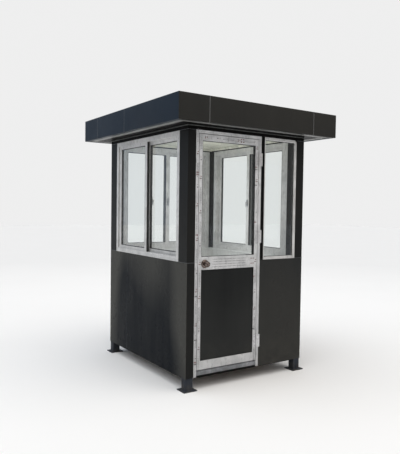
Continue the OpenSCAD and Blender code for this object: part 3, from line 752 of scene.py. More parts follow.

# %% [markdown]
# ## Soffit
# Under the overhang runs a pale plastic board, then a dark strip against the wall that is painted
# shade, where the wall and the overhang meet, and a bright trim right at the wall head. The boards
# lap over each other with small V-grooves, so each board is a section with chamfered edges, mitred
# where two runs meet.

# %% Soffit boards
board_low, board_high = soffit_z + sheet_t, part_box("soffit")[1].z
soffit_out = roof_w - half_w - sheet_t - fit
pale_w, groove_w = 0.100, 0.004
soffit = Shape()
# The strip nearest the wall is black: painted shade against the wall
strips = [(0.0005, soffit_out - pale_w, 1), (soffit_out - pale_w, soffit_out - pale_w / 2, 0),
          (soffit_out - pale_w / 2, soffit_out, 0)]
strip_rise = 0.0025
trim_w, trim_h, trim_t, trim_flange, trim_off = 0.011, 0.007, 0.0022, 0.0015, 0.0004


def wall_ring(shape, section, paint=0):
    """Leads a closed section of (distance from the wall, height) round the body, mitred."""
    rings = []
    for out, z in section:
        x, y = half_w + out, half_d + out
        rings.append([(-x, -y, z), (x, -y, z), (x, y, z), (-x, y, z)])
    shape.sweep(rings, paint)


for near, far, paint in strips:
    lift = strip_rise if paint else 0.0
    wall_ring(soffit, [(near, board_high), (near, board_low + groove_w / 2 + lift),
                       (near + groove_w / 2, board_low + lift), (far - groove_w / 2, board_low + lift),
                       (far, board_low + groove_w / 2 + lift), (far, board_high)], paint)
wall_ring(soffit, [(trim_off, board_low), (trim_off, board_low - trim_h), (trim_t, board_low - trim_h),
                   (trim_t, board_low - trim_flange), (trim_w, board_low - trim_flange),
                   (trim_w, board_low)], 2)
trim_finish = plated("soffit_trim", (0.15, 0.155, 0.15), (0.08, 0.083, 0.08), 0.35, 0.55)
make("soffit_boards", soffit, [soffit_finish, beam_finish, trim_finish], "booth",
     ["soffit"], bevel=0.0005)

# %% [markdown]
# ## Ceiling
# Inside, the ceiling is lined with pale boards laid from side to side, with a V-groove at each lap,
# a nick down the middle of each board and a cornice strip round the walls. Most such booths have a
# small round light here, but nothing shows one, so the ceiling is left plain.

# %% Ceiling boards
low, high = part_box("ceiling")
ceiling = Shape()
board_w, nick_w, nick_d = 0.100, 0.002, 0.0015
shadow_end, shadow_low, shadow_high = 0.001, 0.0002, 0.001
board_count = int((high.y - low.y) / board_w)
board_step = (high.y - low.y) / board_count
for k in range(board_count):
    y0, y1 = low.y + k * board_step, low.y + (k + 1) * board_step
    nick = y0 + board_step / 2
    ceiling.prism([(y0, high.z), (y0, low.z + groove_w), (y0 + groove_w, low.z), (nick - nick_w, low.z),
                   (nick, low.z + nick_d), (nick + nick_w, low.z), (y1 - groove_w, low.z),
                   (y1, low.z + groove_w), (y1, high.z)], "x", low.x, high.x)
    if k:
        # A strip of painted shadow in each groove draws the dark line between two boards
        ceiling.block((low.x + shadow_end, y0 - groove_w, low.z + shadow_low),
                      (high.x - shadow_end, y0 + groove_w, low.z + shadow_high), paint=1)
groove_shadow_finish = dull_black("painted_groove_shadow", (0.16, 0.16, 0.14), 0.4)
make("ceiling_boards", ceiling, [ceiling_finish, groove_shadow_finish], "booth", ["ceiling"],
     bevel=0)

# %% Cornice
cornice = Shape()
cornice_h, cornice_w, cornice_t, cornice_foot = 0.022, 0.018, 0.004, 0.006
outer = (low.x + fit, low.y + fit, high.x - fit, high.y - fit)
cornice_section = [(0, low.z), (cornice_w, low.z), (cornice_w, low.z - cornice_t),
                   (cornice_foot, low.z - cornice_h), (0, low.z - cornice_h)]
rings = []
for inset, z in cornice_section:
    rings.append([(outer[0] + inset, outer[1] + inset, z), (outer[2] - inset, outer[1] + inset, z),
                  (outer[2] - inset, outer[3] - inset, z), (outer[0] + inset, outer[3] - inset, z)])
cornice.sweep(rings)
make("ceiling_cornice", cornice, [ceiling_finish], "booth", bevel=0.0006)

# %% [markdown]
# ## Roof sheet
# The roof itself is a ribbed steel sheet that no one sees from the ground. Its section is a
# trapezoid wave; drawn out from front to back it makes the whole sheet. Screws with washers hold
# each rib down, and flashing strips close the edge.

# %% Ribbed sheet
low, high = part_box("roof_sheet")
ribs, rib_top, rib_foot, skin_t = 7, 0.024, 0.056, 0.0012
rib_step = (high.x - low.x) / ribs
over = low.z + sheet_t
rib_line = [(-rib_foot / 2, over), (-rib_top / 2, high.z), (rib_top / 2, high.z), (rib_foot / 2, over)]
# Two low swages stiffen each pan
swage_line = [(-0.010, over), (-0.005, over + 0.0022), (0.005, over + 0.0022), (0.010, over)]
top_line = [(low.x, over)]
for k in range(ribs):
    middle = low.x + (k + 0.5) * rib_step
    top_line += [(middle + dx, z) for dx, z in rib_line]
    for part in (0.34, 0.66):
        swage = middle + rib_foot / 2 + (rib_step - rib_foot) * part
        if swage < high.x:
            top_line += [(swage + dx, z) for dx, z in swage_line]
top_line.append((high.x, over))
bottom_line = [(x, z - skin_t) for x, z in top_line]
roof = Shape()
roof.prism(top_line + bottom_line[::-1], "y", low.y, high.y)
make("ribbed_roof_sheet", roof, [roof_finish], "booth", ["roof_sheet"], bevel=0)

# %% Roof screws
screws = Shape()
screw_rows = 6
washer_outline = [(0.0, -0.001), (0.008, -0.001), (0.008, 0.0008), (0.0055, 0.0015), (0.0, 0.0015)]
head_outline = [(0.0, 0.001), (0.0042, 0.001), (0.0042, 0.0052), (0.0036, 0.0058), (0.0, 0.0058)]
for k in range(ribs):
    for j in range(screw_rows):
        spot = (low.x + (k + 0.5) * rib_step, low.y + (j + 0.5) * (high.y - low.y) / screw_rows, high.z)
        screws.turned(washer_outline, spot, (0, 0, 1), 16, 1)
        screws.turned(head_outline, spot, (0, 0, 1), 6)
make("roof_screws", screws, [zinc_finish, rubber_finish], "booth", bevel=0)

# %% Roof flashing
flashing = Shape()
flash_w, flash_t, flash_top = 0.045, 0.0014, roof_z - sheet_t - 0.0010
flash_under, flash_over = over + 0.0004, over + 0.0016
rim_w, rim_d = roof_w - fold_w - sheet_t, roof_d - fold_w - sheet_t
rings = []
for inset, z in ((0.0, flash_top), (0.0, flash_under), (flash_w, flash_under),
                 (flash_w, flash_over), (flash_t, flash_over), (flash_t, flash_top)):
    x, y = rim_w - inset, rim_d - inset
    rings.append([(-x, -y, z), (x, -y, z), (x, y, z), (-x, y, z)])
flashing.sweep(rings)
make("roof_flashing", flashing, [roof_finish], "booth", bevel=0)

# %% [markdown]
# ## Inside walls and floor
# Below the sills the inside is lined with flat sheet, with a skirting at the floor and a capping
# along the top. The floor is boards over a deck. Both show through the open door.


# %% Wall lining, cappings and skirting
def dress_node(node_name, finish):
    """A node whose shape is right stays, and only takes a better finish."""
    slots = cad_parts[node_name].data.materials
    slots.clear()
    slots.append(finish)


for node_name in ("left_wall", "right_wall", "back_wall", "front_wall"):
    dress_node(node_name, inner_finish)

lining_trim = Shape()
skirt_h, skirt_t, cap_h = 0.060, 0.008, 0.018
door_inside = door_right + 0.004


def trim_bar(low_x, low_y, high_x, high_y):
    """One wall's skirting and capping."""
    lining_trim.block((low_x, low_y, floor_z + fit), (high_x, high_y, floor_z + skirt_h))
    lining_trim.block((low_x, low_y, sill_z - cap_h), (high_x, high_y, sill_z - 0.001))


trim_bar(-inner_w + fit, -inner_d, -inner_w + skirt_t, inner_d - fit)
trim_bar(inner_w - skirt_t, -inner_d, inner_w - fit, inner_d - fit)
trim_bar(-inner_w + skirt_t + fit, inner_d - skirt_t, inner_w - skirt_t - fit, inner_d - fit)
trim_bar(door_inside, -inner_d + fit, inner_w - skirt_t - fit, -inner_d + skirt_t)
make("wall_trims", lining_trim, [inner_finish], "booth", bevel=0.0015)

# %% Floor boards
low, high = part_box("floor_deck")
floor_boards = Shape()
plank_w, chamfer = 0.118, 0.0012
plank_gap = 0.0008
plank_count = int((high.x - low.x) / plank_w)
plank_step = (high.x - low.x) / plank_count
for k in range(plank_count):
    x0, x1 = low.x + k * plank_step, low.x + (k + 1) * plank_step
    section = [(x0, low.z), (x1, low.z), (x1, high.z - chamfer), (x1 - chamfer, high.z),
               (x0 + chamfer, high.z), (x0, high.z - chamfer)]
    split = low.y + (0.35 + 0.3 * (k % 2)) * (high.y - low.y)
    floor_boards.prism(section, "y", low.y, split - plank_gap / 2)
    floor_boards.prism(section, "y", split + plank_gap / 2, high.y)
make("floor_boards", floor_boards, [floor_finish], "booth", ["floor_deck"], bevel=0)

# The steel frames under the floor and roof keep their shape
for node_name in ("floor_frame", "roof_frame"):
    dress_node(node_name, beam_finish)

# %% [markdown]
# ## Sliding windows
# A sliding window has an outer frame with two tracks, and two sashes that pass each other. The frame
# is one section with three upstanding ribs, mitred at the corners. A sash is four bars, with the
# stiles running through and the rails between them; the two meeting stiles overlap in the middle.
# The window is drawn once along X, and its place turns it into each wall.

# %% Window sizes
frame_face, frame_depth = 0.040, 0.078
outer_track, inner_track, sash_t, pane_t = 0.010, 0.044, 0.026, 0.005
side_stile_w, back_stile_w, meeting_w, rail_h = 0.060, 0.026, 0.046, 0.033
window_h = head_z - sill_z
rubber_back, bite = 0.002, 0.0035

# The outer frame's section: ribs beside the tracks, and a line on its face
frame_section = [(fit, 0.0006), (fit, frame_depth), (frame_face + 0.004, frame_depth),
                 (frame_face + 0.004, 0.073), (frame_face, 0.073), (frame_face, 0.0425),
                 (frame_face + 0.006, 0.0425), (frame_face + 0.006, 0.038), (frame_face, 0.038),
                 (frame_face, 0.006), (frame_face + 0.004, 0.006), (frame_face + 0.004, 0.0),
                 (0.015, 0.0), (0.0142, 0.001), (0.0128, 0.001), (0.012, 0.0), (0.0009, 0.0)]


# %% A bar of a sash or leaf
def glazed_bar(shape, along, start, end, solid_edge, glass_edge, front, back, lip=0.004, both=False):
    """A rectangular bar whose glass edge slopes back. With both, its other edge does too."""
    way = 1 if glass_edge > solid_edge else -1
    slope = lip * way
    if both:
        outline = [(solid_edge + slope, front), (glass_edge - slope, front), (glass_edge, front + lip),
                   (glass_edge, back - lip), (glass_edge - slope, back), (solid_edge + slope, back),
                   (solid_edge, back - lip), (solid_edge, front + lip)]
    else:
        outline = [(solid_edge, front), (glass_edge - slope, front), (glass_edge, front + lip),
                   (glass_edge, back - lip), (glass_edge - slope, back), (solid_edge, back)]
    if along == "x":
        outline = [(depth, across) for across, depth in outline]
    shape.prism(outline, along, start, end)


# %% Rubber round a pane
def glazing_rubber(shape, opening, front, glass_front, glass_back, back, show=0.003):
    """Two wedge seals, one on each face of the pane, lining the reveal."""
    ring_frame(shape, opening, [(fit, front), (show * 0.6, front), (show, glass_front - 0.0003),
                                (fit, glass_front - 0.0003)])
    ring_frame(shape, opening, [(fit, glass_back + 0.0003), (show, glass_back + 0.0003),
                                (show * 0.6, back), (fit, back)])


# %% Latch on the meeting stile
def window_latch(shape, x, y, z):
    """A plate, a boss and a lever that tapers downwards, inside the window."""
    shape.block((x - 0.012, y, z - 0.035), (x + 0.012, y + 0.009, z + 0.035), paint=1)
    shape.turned([(0.0, 0.0), (0.011, 0.0), (0.011, 0.012), (0.008, 0.014), (0.0, 0.014)],
                 (x, y + 0.009, z), (0, 1, 0), 24, paint=1)
    shape.prism([(x - 0.004, z - 0.045), (x + 0.004, z - 0.045), (x + 0.006, z), (x - 0.006, z)],
                "y", y + 0.017, y + 0.022, paint=1)


# %% One sliding window
def sliding_window(name, place, width, stile_w, nodes):
    outer, sashes, panes, seals = (Shape(place) for _ in range(4))
    ring_frame(outer, (0.0, 0.0, width, window_h - fit), frame_section)
    for x in (width * 0.22, width * 0.78):
        # Drain slots with their covers, in the sill's face
        outer.block((x - 0.018, -0.0012, 0.019), (x + 0.018, 0.0, 0.026))
    sash_w = (width - 2 * frame_face + meeting_w) / 2 - fit
    bottom = frame_face + 2 * fit
    top = window_h - fit - bottom
    for mirrored, track in ((False, outer_track), (True, inner_track)):
        def across(x):
            return width - frame_face - fit - x if mirrored else frame_face + fit + x
        front, back = track, track + sash_t
        glass_front = track + (sash_t - pane_t) / 2
        glazed_bar(sashes, "z", bottom, top, across(0), across(stile_w), front, back)
        glazed_bar(sashes, "z", bottom, top, across(sash_w), across(sash_w - meeting_w), front, back)
        # The rails bite a little into the stiles, so that no gap shows
        edges = sorted((across(stile_w - bite), across(sash_w - meeting_w + bite)))
        glazed_bar(sashes, "x", edges[0], edges[1], bottom, bottom + rail_h, front, back)
        glazed_bar(sashes, "x", edges[0], edges[1], top, top - rail_h, front, back)
        opening = (min(across(stile_w), across(sash_w - meeting_w)), bottom + rail_h,
                   max(across(stile_w), across(sash_w - meeting_w)), top - rail_h)
        panes.block((opening[0] + fit, glass_front, opening[1] + fit),
                    (opening[2] - fit, glass_front + pane_t, opening[3] - fit))
        glazing_rubber(seals, opening, front + rubber_back, glass_front, glass_front + pane_t,
                       back - rubber_back, show=0.005)
        # A pile strip closes the gap where the meeting stiles pass; it is black over the stile's whole end
        # face, partly the real pile and partly painted shade on that side
        end_x = sorted((across(sash_w + 0.0002), across(sash_w + 0.0016)))
        seals.block((end_x[0], front + rubber_back, bottom), (end_x[1], back - rubber_back, top))
    window_latch(seals, width / 2, inner_track + sash_t, window_h * 0.47)
    make(name + "_outer_frame", outer, [alloy_finish], "booth", [nodes + "_frame"])
    make(name + "_sash_bars", sashes, [alloy_finish], "booth", [nodes + "_sashes"])
    make(name + "_panes", panes, [glass_finish], "booth", [nodes + "_glass"], bevel=0)
    make(name + "_seals_and_latch", seals, [rubber_finish, zinc_finish], "booth", bevel=0)


# %% Three windows in their walls
side_window_w = window_high.y - window_low.y + 2 * fit
back_low, back_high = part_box("back_window_frame")
back_window_w = back_high.x - back_low.x + 2 * fit
quarter_left = Matrix.Rotation(-math.pi / 2, 4, "Z")
in_left_wall = Matrix.Translation((-half_w, window_high.y + fit, sill_z)) @ quarter_left
in_right_wall = Matrix.Scale(-1, 4, (1, 0, 0)) @ in_left_wall
in_back_wall = Matrix.Translation((back_high.x + fit, half_d, sill_z)) @ Matrix.Rotation(math.pi, 4, "Z")
sliding_window("left_slider", in_left_wall, side_window_w, side_stile_w, "left_window")
sliding_window("right_slider", in_right_wall, side_window_w, side_stile_w, "right_window")
sliding_window("back_slider", in_back_wall, back_window_w, back_stile_w, "back_window")

# %% [markdown]
# ## Light beside the door
# The narrow fixed light has a slim frame whose upper outer corner is round. The ring maker takes a
# corner radius for this. Outside the round corner a dark sheet fills the square opening.

# %% Fixed light
low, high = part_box("front_light_frame")
light = (low.x, low.z, high.x, high.z)
light_face, light_depth, light_corner = 0.027, high.y - low.y, 0.034
left_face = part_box("front_light_glass")[0].x - fit - low.x
y_face = -half_d
light_frame, light_pane, light_seal, light_fill = (Shape() for _ in range(4))
ring_frame(light_frame, light, [(0.0, y_face + light_depth), (0.0, y_face), (light_face - 0.006, y_face),
                                (light_face, y_face + 0.005), (light_face, y_face + light_depth - 0.004),
                                (light_face - 0.004, y_face + light_depth)],
           corner=light_corner, left_share=left_face / light_face)
make("fixed_light_frame", light_frame, [alloy_finish], "booth", ["front_light_frame"],
     bevel=0.0006)

# %% Pane, seals and corner of the fixed light
glass_y = y_face + light_depth / 2
inside_light = (light[0] + left_face, light[1] + light_face, light[2] - light_face, light[3] - light_face)
outline = rounded(inside_light[0] + fit, inside_light[1] + fit, inside_light[2] - fit,
                  inside_light[3] - fit, (0, 0, light_corner - light_face, 0))
glass_near, glass_far = glass_y - pane_t / 2, glass_y + pane_t / 2
light_pane.prism(outline, "y", glass_near, glass_far)
make("fixed_light_pane", light_pane, [glass_finish], "booth", ["front_light_glass"],
     bevel=0)
for start, end in ((y_face + 0.006, glass_near - fit), (y_face + light_depth, glass_far + fit)):
    ring_frame(light_seal, inside_light, [(fit, start), (0.0018, start), (0.003, end), (fit, end)],
               corner=0.008)
make("fixed_light_seal", light_seal, [rubber_finish], "booth", bevel=0)
arc = [(x, z) for x, z in rounded(*light, (0, 0, light_corner, 0))[14:21]]
light_fill.prism(arc + [(light[2], light[3])], "y", y_face + 0.0005, y_face + light_depth - 0.002)
make("fixed_light_corner_fill", light_fill, [casing_finish], "booth", bevel=0)

# %% [markdown]
# ## Door frame
# Two jambs, a head and a threshold hold the leaf. The section has a stop behind the leaf with a
# rubber seal on it. The threshold is barer and dirtier than the rest, with grip ridges on top and
# the dark steel edge of the floor frame below.

# %% Door frame bars
low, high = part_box("door_frame")
jamb_w, stop_w, stop_t = 0.028, 0.012, 0.020
front_y, back_y = low.y, high.y
stop_y = back_y - stop_t
door_frame_shape, door_seal = Shape(), Shape()
# The seal's section, as (how far past the jamb, how far in front of the stop)
seal_section = [(0.001, 0.0), (0.009, 0.0), (0.007, 0.006), (0.003, 0.006)]


def jamb_section(start, way):
    """The jamb's section as (across, depth), from its outer edge towards the leaf."""
    points = [(0, 0), (0.010, 0), (0.0108, 0.001), (0.0122, 0.001), (0.013, 0), (jamb_w, 0),
              (jamb_w, stop_y - front_y), (jamb_w + stop_w, stop_y - front_y),
              (jamb_w + stop_w, back_y - front_y), (0, back_y - front_y)]
    return [(start + way * across, front_y + depth) for across, depth in points]


for start, way in ((low.x, 1), (high.x, -1)):
    door_frame_shape.prism(jamb_section(start, way), "z", low.z, high.z)
    seal = [(start + way * (jamb_w + past), stop_y - ahead) for past, ahead in seal_section]
    door_seal.prism(seal, "z", floor_z + 0.002, high.z - jamb_w)
head = [(depth, z) for z, depth in jamb_section(high.z, -1)]
door_frame_shape.prism(head, "x", low.x + jamb_w + fit, high.x - jamb_w - fit)
head_seal = [(stop_y - ahead, high.z - jamb_w - past) for past, ahead in seal_section]
door_seal.prism(head_seal, "x", low.x + jamb_w + 0.001, high.x - jamb_w - 0.001)
make("door_frame_bars", door_frame_shape, [door_alloy_finish], "booth", ["door_frame"])
make("door_frame_seal", door_seal, [rubber_finish], "booth", bevel=0)

# %% Threshold
threshold = Shape()
edge_h = 0.014
profile = [(front_y, low.z + edge_h), (front_y, floor_z - 0.012), (front_y + 0.008, floor_z - 0.004)]
ridges, ridge_start, ridge_step = 6, 0.012, 0.0065
ridge_section = [(0.0, -0.002), (0.001, 0.0), (0.003, 0.0), (0.004, -0.002)]
for k in range(ridges):
    y = front_y + ridge_start + k * ridge_step
    profile += [(y + dy, floor_z + dz) for dy, dz in ridge_section]
profile += [(stop_y - fit, floor_z - 0.002), (stop_y - fit, low.z + edge_h)]
threshold.prism(profile, "x", low.x + jamb_w + fit, high.x - jamb_w - fit)
# Below the alloy the dark steel edge of the floor frame shows
threshold.block((low.x + jamb_w + fit, front_y + 0.002, low.z),
                (high.x - jamb_w - fit, stop_y - fit, low.z + edge_h - fit), paint=1)
make("door_threshold", threshold, [sill_alloy_finish, beam_finish], "booth", bevel=0.0004)

# %% [markdown]
# ## Door leaf
# The leaf is the same kind of section: two stiles, three rails, glass above the middle rail and a
# dark composite panel below. Black seals line both openings and draw the thin dark line beside the
# glass. Everything here rides on the door's own body, so that it swings.

# %% Leaf bars
low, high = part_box("door_leaf")
glass_low, glass_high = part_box("door_glass")
panel_low, panel_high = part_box("door_panel")
leaf_front, leaf_back = low.y, high.y
leaf_stile = glass_low.x - fit - low.x
leaf_bars, leaf_seals, leaf_pane, leaf_panel = (Shape() for _ in range(4))
in_left, in_right = low.x + leaf_stile, high.x - leaf_stile
glazed_bar(leaf_bars, "z", low.z, high.z, low.x, in_left, leaf_front, leaf_back, lip=0.003)
glazed_bar(leaf_bars, "z", low.z, high.z, high.x, in_right, leaf_front, leaf_back, lip=0.003)
rail_left, rail_right = in_left - 0.0028, in_right + 0.0028
glazed_bar(leaf_bars, "x", rail_left, rail_right, low.z, panel_low.z - fit, leaf_front, leaf_back, 0.003)
glazed_bar(leaf_bars, "x", rail_left, rail_right, high.z, glass_high.z + fit, leaf_front, leaf_back, 0.003)
glazed_bar(leaf_bars, "x", rail_left, rail_right, panel_high.z + fit, glass_low.z - fit, leaf_front,
           leaf_back, 0.003, both=True)
make("leaf_bars", leaf_bars, [door_alloy_finish], "door", ["door_leaf"])

# %% Leaf seals, glass and panel
seal_back = 0.003
opening = (in_left, glass_low.z - fit, in_right, glass_high.z + fit)
glazing_rubber(leaf_seals, opening, leaf_front + seal_back, glass_low.y, glass_high.y,
               leaf_back - seal_back, show=0.0035)
opening = (in_left, panel_low.z - fit, in_right, panel_high.z + fit)
glazing_rubber(leaf_seals, opening, leaf_front + seal_back, panel_low.y, panel_high.y,
               leaf_back - seal_back)
make("leaf_seals", leaf_seals, [rubber_finish], "door", bevel=0)
leaf_pane.block(glass_low, glass_high)
make("leaf_pane", leaf_pane, [glass_finish], "door", ["door_glass"], bevel=0)

# The panel is two thin sheets over a core that is set back from their edges
# Its finish is another twin, with a painted reflection that grows warmer towards the bottom
panel_finish = dark_sheet("door_panel_sheet", (0.0080, 0.0090, 0.0096), (0.0245, 0.0255, 0.0250),
                          satin=0.34, rise=-0.5)
skin, core_in = 0.003, 0.001
leaf_panel.block(panel_low, (panel_high.x, panel_low.y + skin, panel_high.z))
leaf_panel.block((panel_low.x, panel_high.y - skin, panel_low.z), panel_high)
leaf_panel.block((panel_low.x + core_in, panel_low.y + skin + fit, panel_low.z + core_in),
                 (panel_high.x - core_in, panel_high.y - skin - fit, panel_high.z - core_in))
make("leaf_panel_sheets", leaf_panel, [panel_finish], "door", ["door_panel"], bevel=0.0005)

# %% [markdown]
# ## Lock set
# A round knob set is turned work: the plate has a rolled rim and a groove, and the knob swells from
# a slim neck to a flat face with a key cylinder in it. The knob rides on its own body, so that it
# turns; the plate stays with the leaf. The turned outlines are the whole design. No one sees the
# spindle inside the stile, so it is left out, and nothing rubs when the knob turns.

# %% Outlines of the plate and knob
plate_low, plate_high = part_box("door_rosettes")
knob_low, knob_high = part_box("door_knobs")
lock_x, lock_z = (plate_low.x + plate_high.x) / 2, (plate_low.z + plate_high.z) / 2
plate_r, plate_t_lock = (plate_high.x - plate_low.x) / 2, leaf_front - plate_low.y
knob_r = (knob_high.x - knob_low.x) / 2
neck_r = 0.012
plate_outline = [(neck_r + 0.0006, 0.0), (plate_r, 0.0), (plate_r, 0.0022), (plate_r - 0.0012, 0.0036),
                 (plate_r - 0.005, 0.0046), (plate_r - 0.0075, 0.0040), (plate_r - 0.0095, 0.0050),
                 (plate_r * 0.62, plate_t_lock - 0.0008), (neck_r + 0.006, plate_t_lock),
                 (neck_r + 0.0006, plate_t_lock)]
knob_outline = [(0.0, 0.0012), (neck_r, 0.0012), (neck_r, 0.014), (neck_r + 0.0015, 0.018),
                (neck_r + 0.006, 0.024), (knob_r - 0.004, 0.030), (knob_r - 0.0008, 0.036),
                (knob_r, 0.042), (knob_r - 0.0008, 0.048), (knob_r - 0.004, 0.0535),
                (knob_r - 0.008, 0.0565), (knob_r - 0.0105, 0.0575), (knob_r - 0.0115, 0.0560),
                (0.0095, 0.0560), (0.0090, 0.0570), (0.0, 0.0570)]

# %% Turn the plates and knobs
lock_plates, knobs = Shape(), Shape()
screw_reach = 0.0245
for face_y, out in ((leaf_front, -1), (leaf_back, 1)):
    rings = []
    for radius, rise in plate_outline:
        rings.append([(lock_x + radius * math.cos(2 * math.pi * k / 64), face_y + out * rise,
                       lock_z + radius * math.sin(2 * math.pi * k / 64)) for k in range(64)])
    lock_plates.sweep(rings)
    knobs.turned(knob_outline, (lock_x, face_y, lock_z), (0, out, 0), 48)
    for turn in (90, 270):
        spot = (lock_x + screw_reach * math.cos(math.radians(turn)), face_y + out * 0.0050,
                lock_z + screw_reach * math.sin(math.radians(turn)))
        lock_plates.turned([(0.0, 0.0), (0.0030, 0.0), (0.0030, 0.0022), (0.0018, 0.0030), (0.0, 0.0030)],
                           spot, (0, out, 0), 16)
# Key cylinder outside, with its slot as a dark inlay of painted shade, and a thumb turn inside
knobs.turned([(0.0, 0.0), (0.0078, 0.0), (0.0078, 0.0030), (0.0068, 0.0040), (0.0, 0.0040)],
             (lock_x, leaf_front - 0.0568, lock_z), (0, -1, 0), 32)
knobs.block((lock_x - 0.0009, leaf_front - 0.0614, lock_z - 0.0045),
            (lock_x + 0.0009, leaf_front - 0.0606, lock_z + 0.0045), paint=1)
knobs.prism([(lock_x - 0.0085, lock_z - 0.0025), (lock_x + 0.0085, lock_z - 0.0025),
             (lock_x + 0.0085, lock_z + 0.0025), (lock_x - 0.0085, lock_z + 0.0025)],
            "y", leaf_back + 0.0565, leaf_back + 0.0615)
make("lock_plates", lock_plates, [bronze_finish], "door", ["door_rosettes"], bevel=0)
make("round_knobs", knobs, [bronze_finish, rubber_finish], "knob", ["door_knobs"], bevel=0)

# %% [markdown]
# ## Latch and strike
# With the door open, the lock's face plate and bevelled latch show in the leaf's edge, and the
# strike plate on the jamb. They are thin zinc plates; the strike's hole is a dark inlay of painted shade.

# %% Latch in the leaf's edge
latch, strike = Shape(), Shape()
edge_x, middle_y = low.x, (leaf_front + leaf_back) / 2
face_w, face_h, face_t = 0.022, 0.150, 0.0012
latch.block((edge_x - face_t, middle_y - face_w / 2, lock_z - face_h / 2),
            (edge_x + 0.001, middle_y + face_w / 2, lock_z + face_h / 2))
latch.prism([(edge_x - 0.0042, middle_y - 0.002), (edge_x, middle_y - 0.0065), (edge_x, middle_y + 0.0065),
             (edge_x - 0.0042, middle_y + 0.0065)], "z", lock_z - 0.014, lock_z + 0.014)
for dz in (-0.062, 0.062):
    latch.turned([(0.0, 0.0), (0.0038, 0.0), (0.0030, 0.0006), (0.0, 0.0008)],
                 (edge_x - face_t, middle_y, lock_z + dz), (-1, 0, 0), 16)
make("latch_and_face_plate", latch, [zinc_finish], "door", bevel=0)

# %% Strike on the jamb
jamb_face, strike_t = door_left + jamb_w, 0.0006
strike.block((jamb_face - 0.0002, middle_y - 0.013, lock_z - 0.045),
             (jamb_face + strike_t, middle_y + 0.013, lock_z + 0.045))
# The dark inlay paints the shade inside the strike's hole
strike.block((jamb_face + strike_t, middle_y - 0.008, lock_z - 0.017),
             (jamb_face + strike_t + 0.0001, middle_y + 0.008, lock_z + 0.017), paint=1)
make("strike_plate", strike, [zinc_finish, rubber_finish], "booth", bevel=0)

# %% [markdown]
# ## Hinges
# Three butt hinges sit on the face of the frame and leaf. Each wing is a plate with round corners
# and four cross-head screws, and the knuckles interlock on a pin. The frame's half stays with the
# booth and the leaf's half swings with the door, so they are two pieces, and a little play between
# them keeps them from touching at any angle.

# %% Hinge sizes
wing_low, wing_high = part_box("hinge_frame_wings")
leaf_wing_low, leaf_wing_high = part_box("hinge_leaf_wings")
hinge_h, knuckle_r, pin_r = 0.120, 0.006, 0.0035
pin_x = leaf_wing_high.x - knuckle_r
pin_y = wing_low.y + knuckle_r
wing_widths = {1: wing_high.x - pin_x, -1: pin_x - leaf_wing_low.x}
leaf_bottom, leaf_top = low.z, high.z
end_hinge, middle_hinge = 0.180, 0.168
hinge_z = [leaf_bottom + end_hinge, glass_low.z - fit + middle_hinge, leaf_top - end_hinge]
wing_y0, wing_y1 = pin_y + knuckle_r - 0.003, pin_y + knuckle_r - 0.0002
frame_wings, leaf_wings = Shape(), Shape()
third = hinge_h / 3
play = 0.0006
print("hinges at", [round(z, 3) for z in hinge_z])


# %% A cross-head screw
def wing_screw(shape, x, z):
    """A low round head on the wing, with two dark bars for its cross, which paint the shade in the recess.
    """
    head = [(0.0, 0.0002), (0.0036, 0.0002), (0.0036, -0.0002), (0.0024, -0.0009), (0.0, -0.0011)]
    shape.turned(head, (x, wing_y0, z), (0, 1, 0), 20)
    for half_x, half_z in ((0.0026, 0.0004), (0.0004, 0.0026)):
        shape.block((x - half_x, wing_y0 - 0.0014, z - half_z),
                    (x + half_x, wing_y0 - 0.0010, z + half_z), paint=1)


# %% A hinge wing
def wing(shape, z, way, notches):
    """A hinge wing with round outer corners, cut back where the other half's knuckles turn."""
    r, wing_w = 0.006, wing_widths[way]
    # The uncut edge stops short of the pin, and still reaches into its own knuckle
    root, cleared = pin_r + 0.0006, knuckle_r + 0.001
    outline = [(pin_x + way * (cleared if notches[0] else root), z)]
    outline += [(pin_x + way * (wing_w - r + r * math.sin(math.radians(15 * k))),
                 z + r - r * math.cos(math.radians(15 * k))) for k in range(7)]
    outline += [(pin_x + way * (wing_w - r + r * math.cos(math.radians(15 * k))),
                 z + hinge_h - r + r * math.sin(math.radians(15 * k))) for k in range(7)]
    # Half the play lies on each side of a joint between knuckles
    levels = [z + hinge_h, z + 2 * third + way * play / 2, z + third - way * play / 2]
    inner = [pin_x + way * (cleared if cut else root) for cut in notches[::-1]]
    outline += [(inner[0], levels[0]), (inner[0], levels[1]), (inner[1], levels[1]), (inner[1], levels[2]),
                (inner[2], levels[2])]
    shape.prism(outline, "y", wing_y0, wing_y1)
    # Screws as (distance from the wing's end, share of its width), from both ends
    for from_end, share in ((0.016, 0.68), (0.045, 0.48)):
        for dz in (from_end, hinge_h - from_end):
            wing_screw(shape, pin_x + way * wing_w * share, z + dz)


# %% A hinge knuckle
def knuckle(shape, z, height, hole=0.0):
    """A barrel with small chamfers. The leaf's has a hole for the pin."""
    edge = 0.0005
    barrel = [(knuckle_r - edge, 0.0), (knuckle_r, edge), (knuckle_r, height - edge),
              (knuckle_r - edge, height)]
    if not hole:
        shape.turned([(0.0, 0.0)] + barrel + [(0.0, height)], (pin_x, pin_y, z), (0, 0, 1))
        return
    turns = [2 * math.pi * k / 32 for k in range(32)]
    rings = [[(pin_x + r * math.cos(turn), pin_y + r * math.sin(turn), z + h) for turn in turns]
             for r, h in [(hole, edge), (hole, height - edge)] + barrel[::-1]]
    shape.sweep(rings)


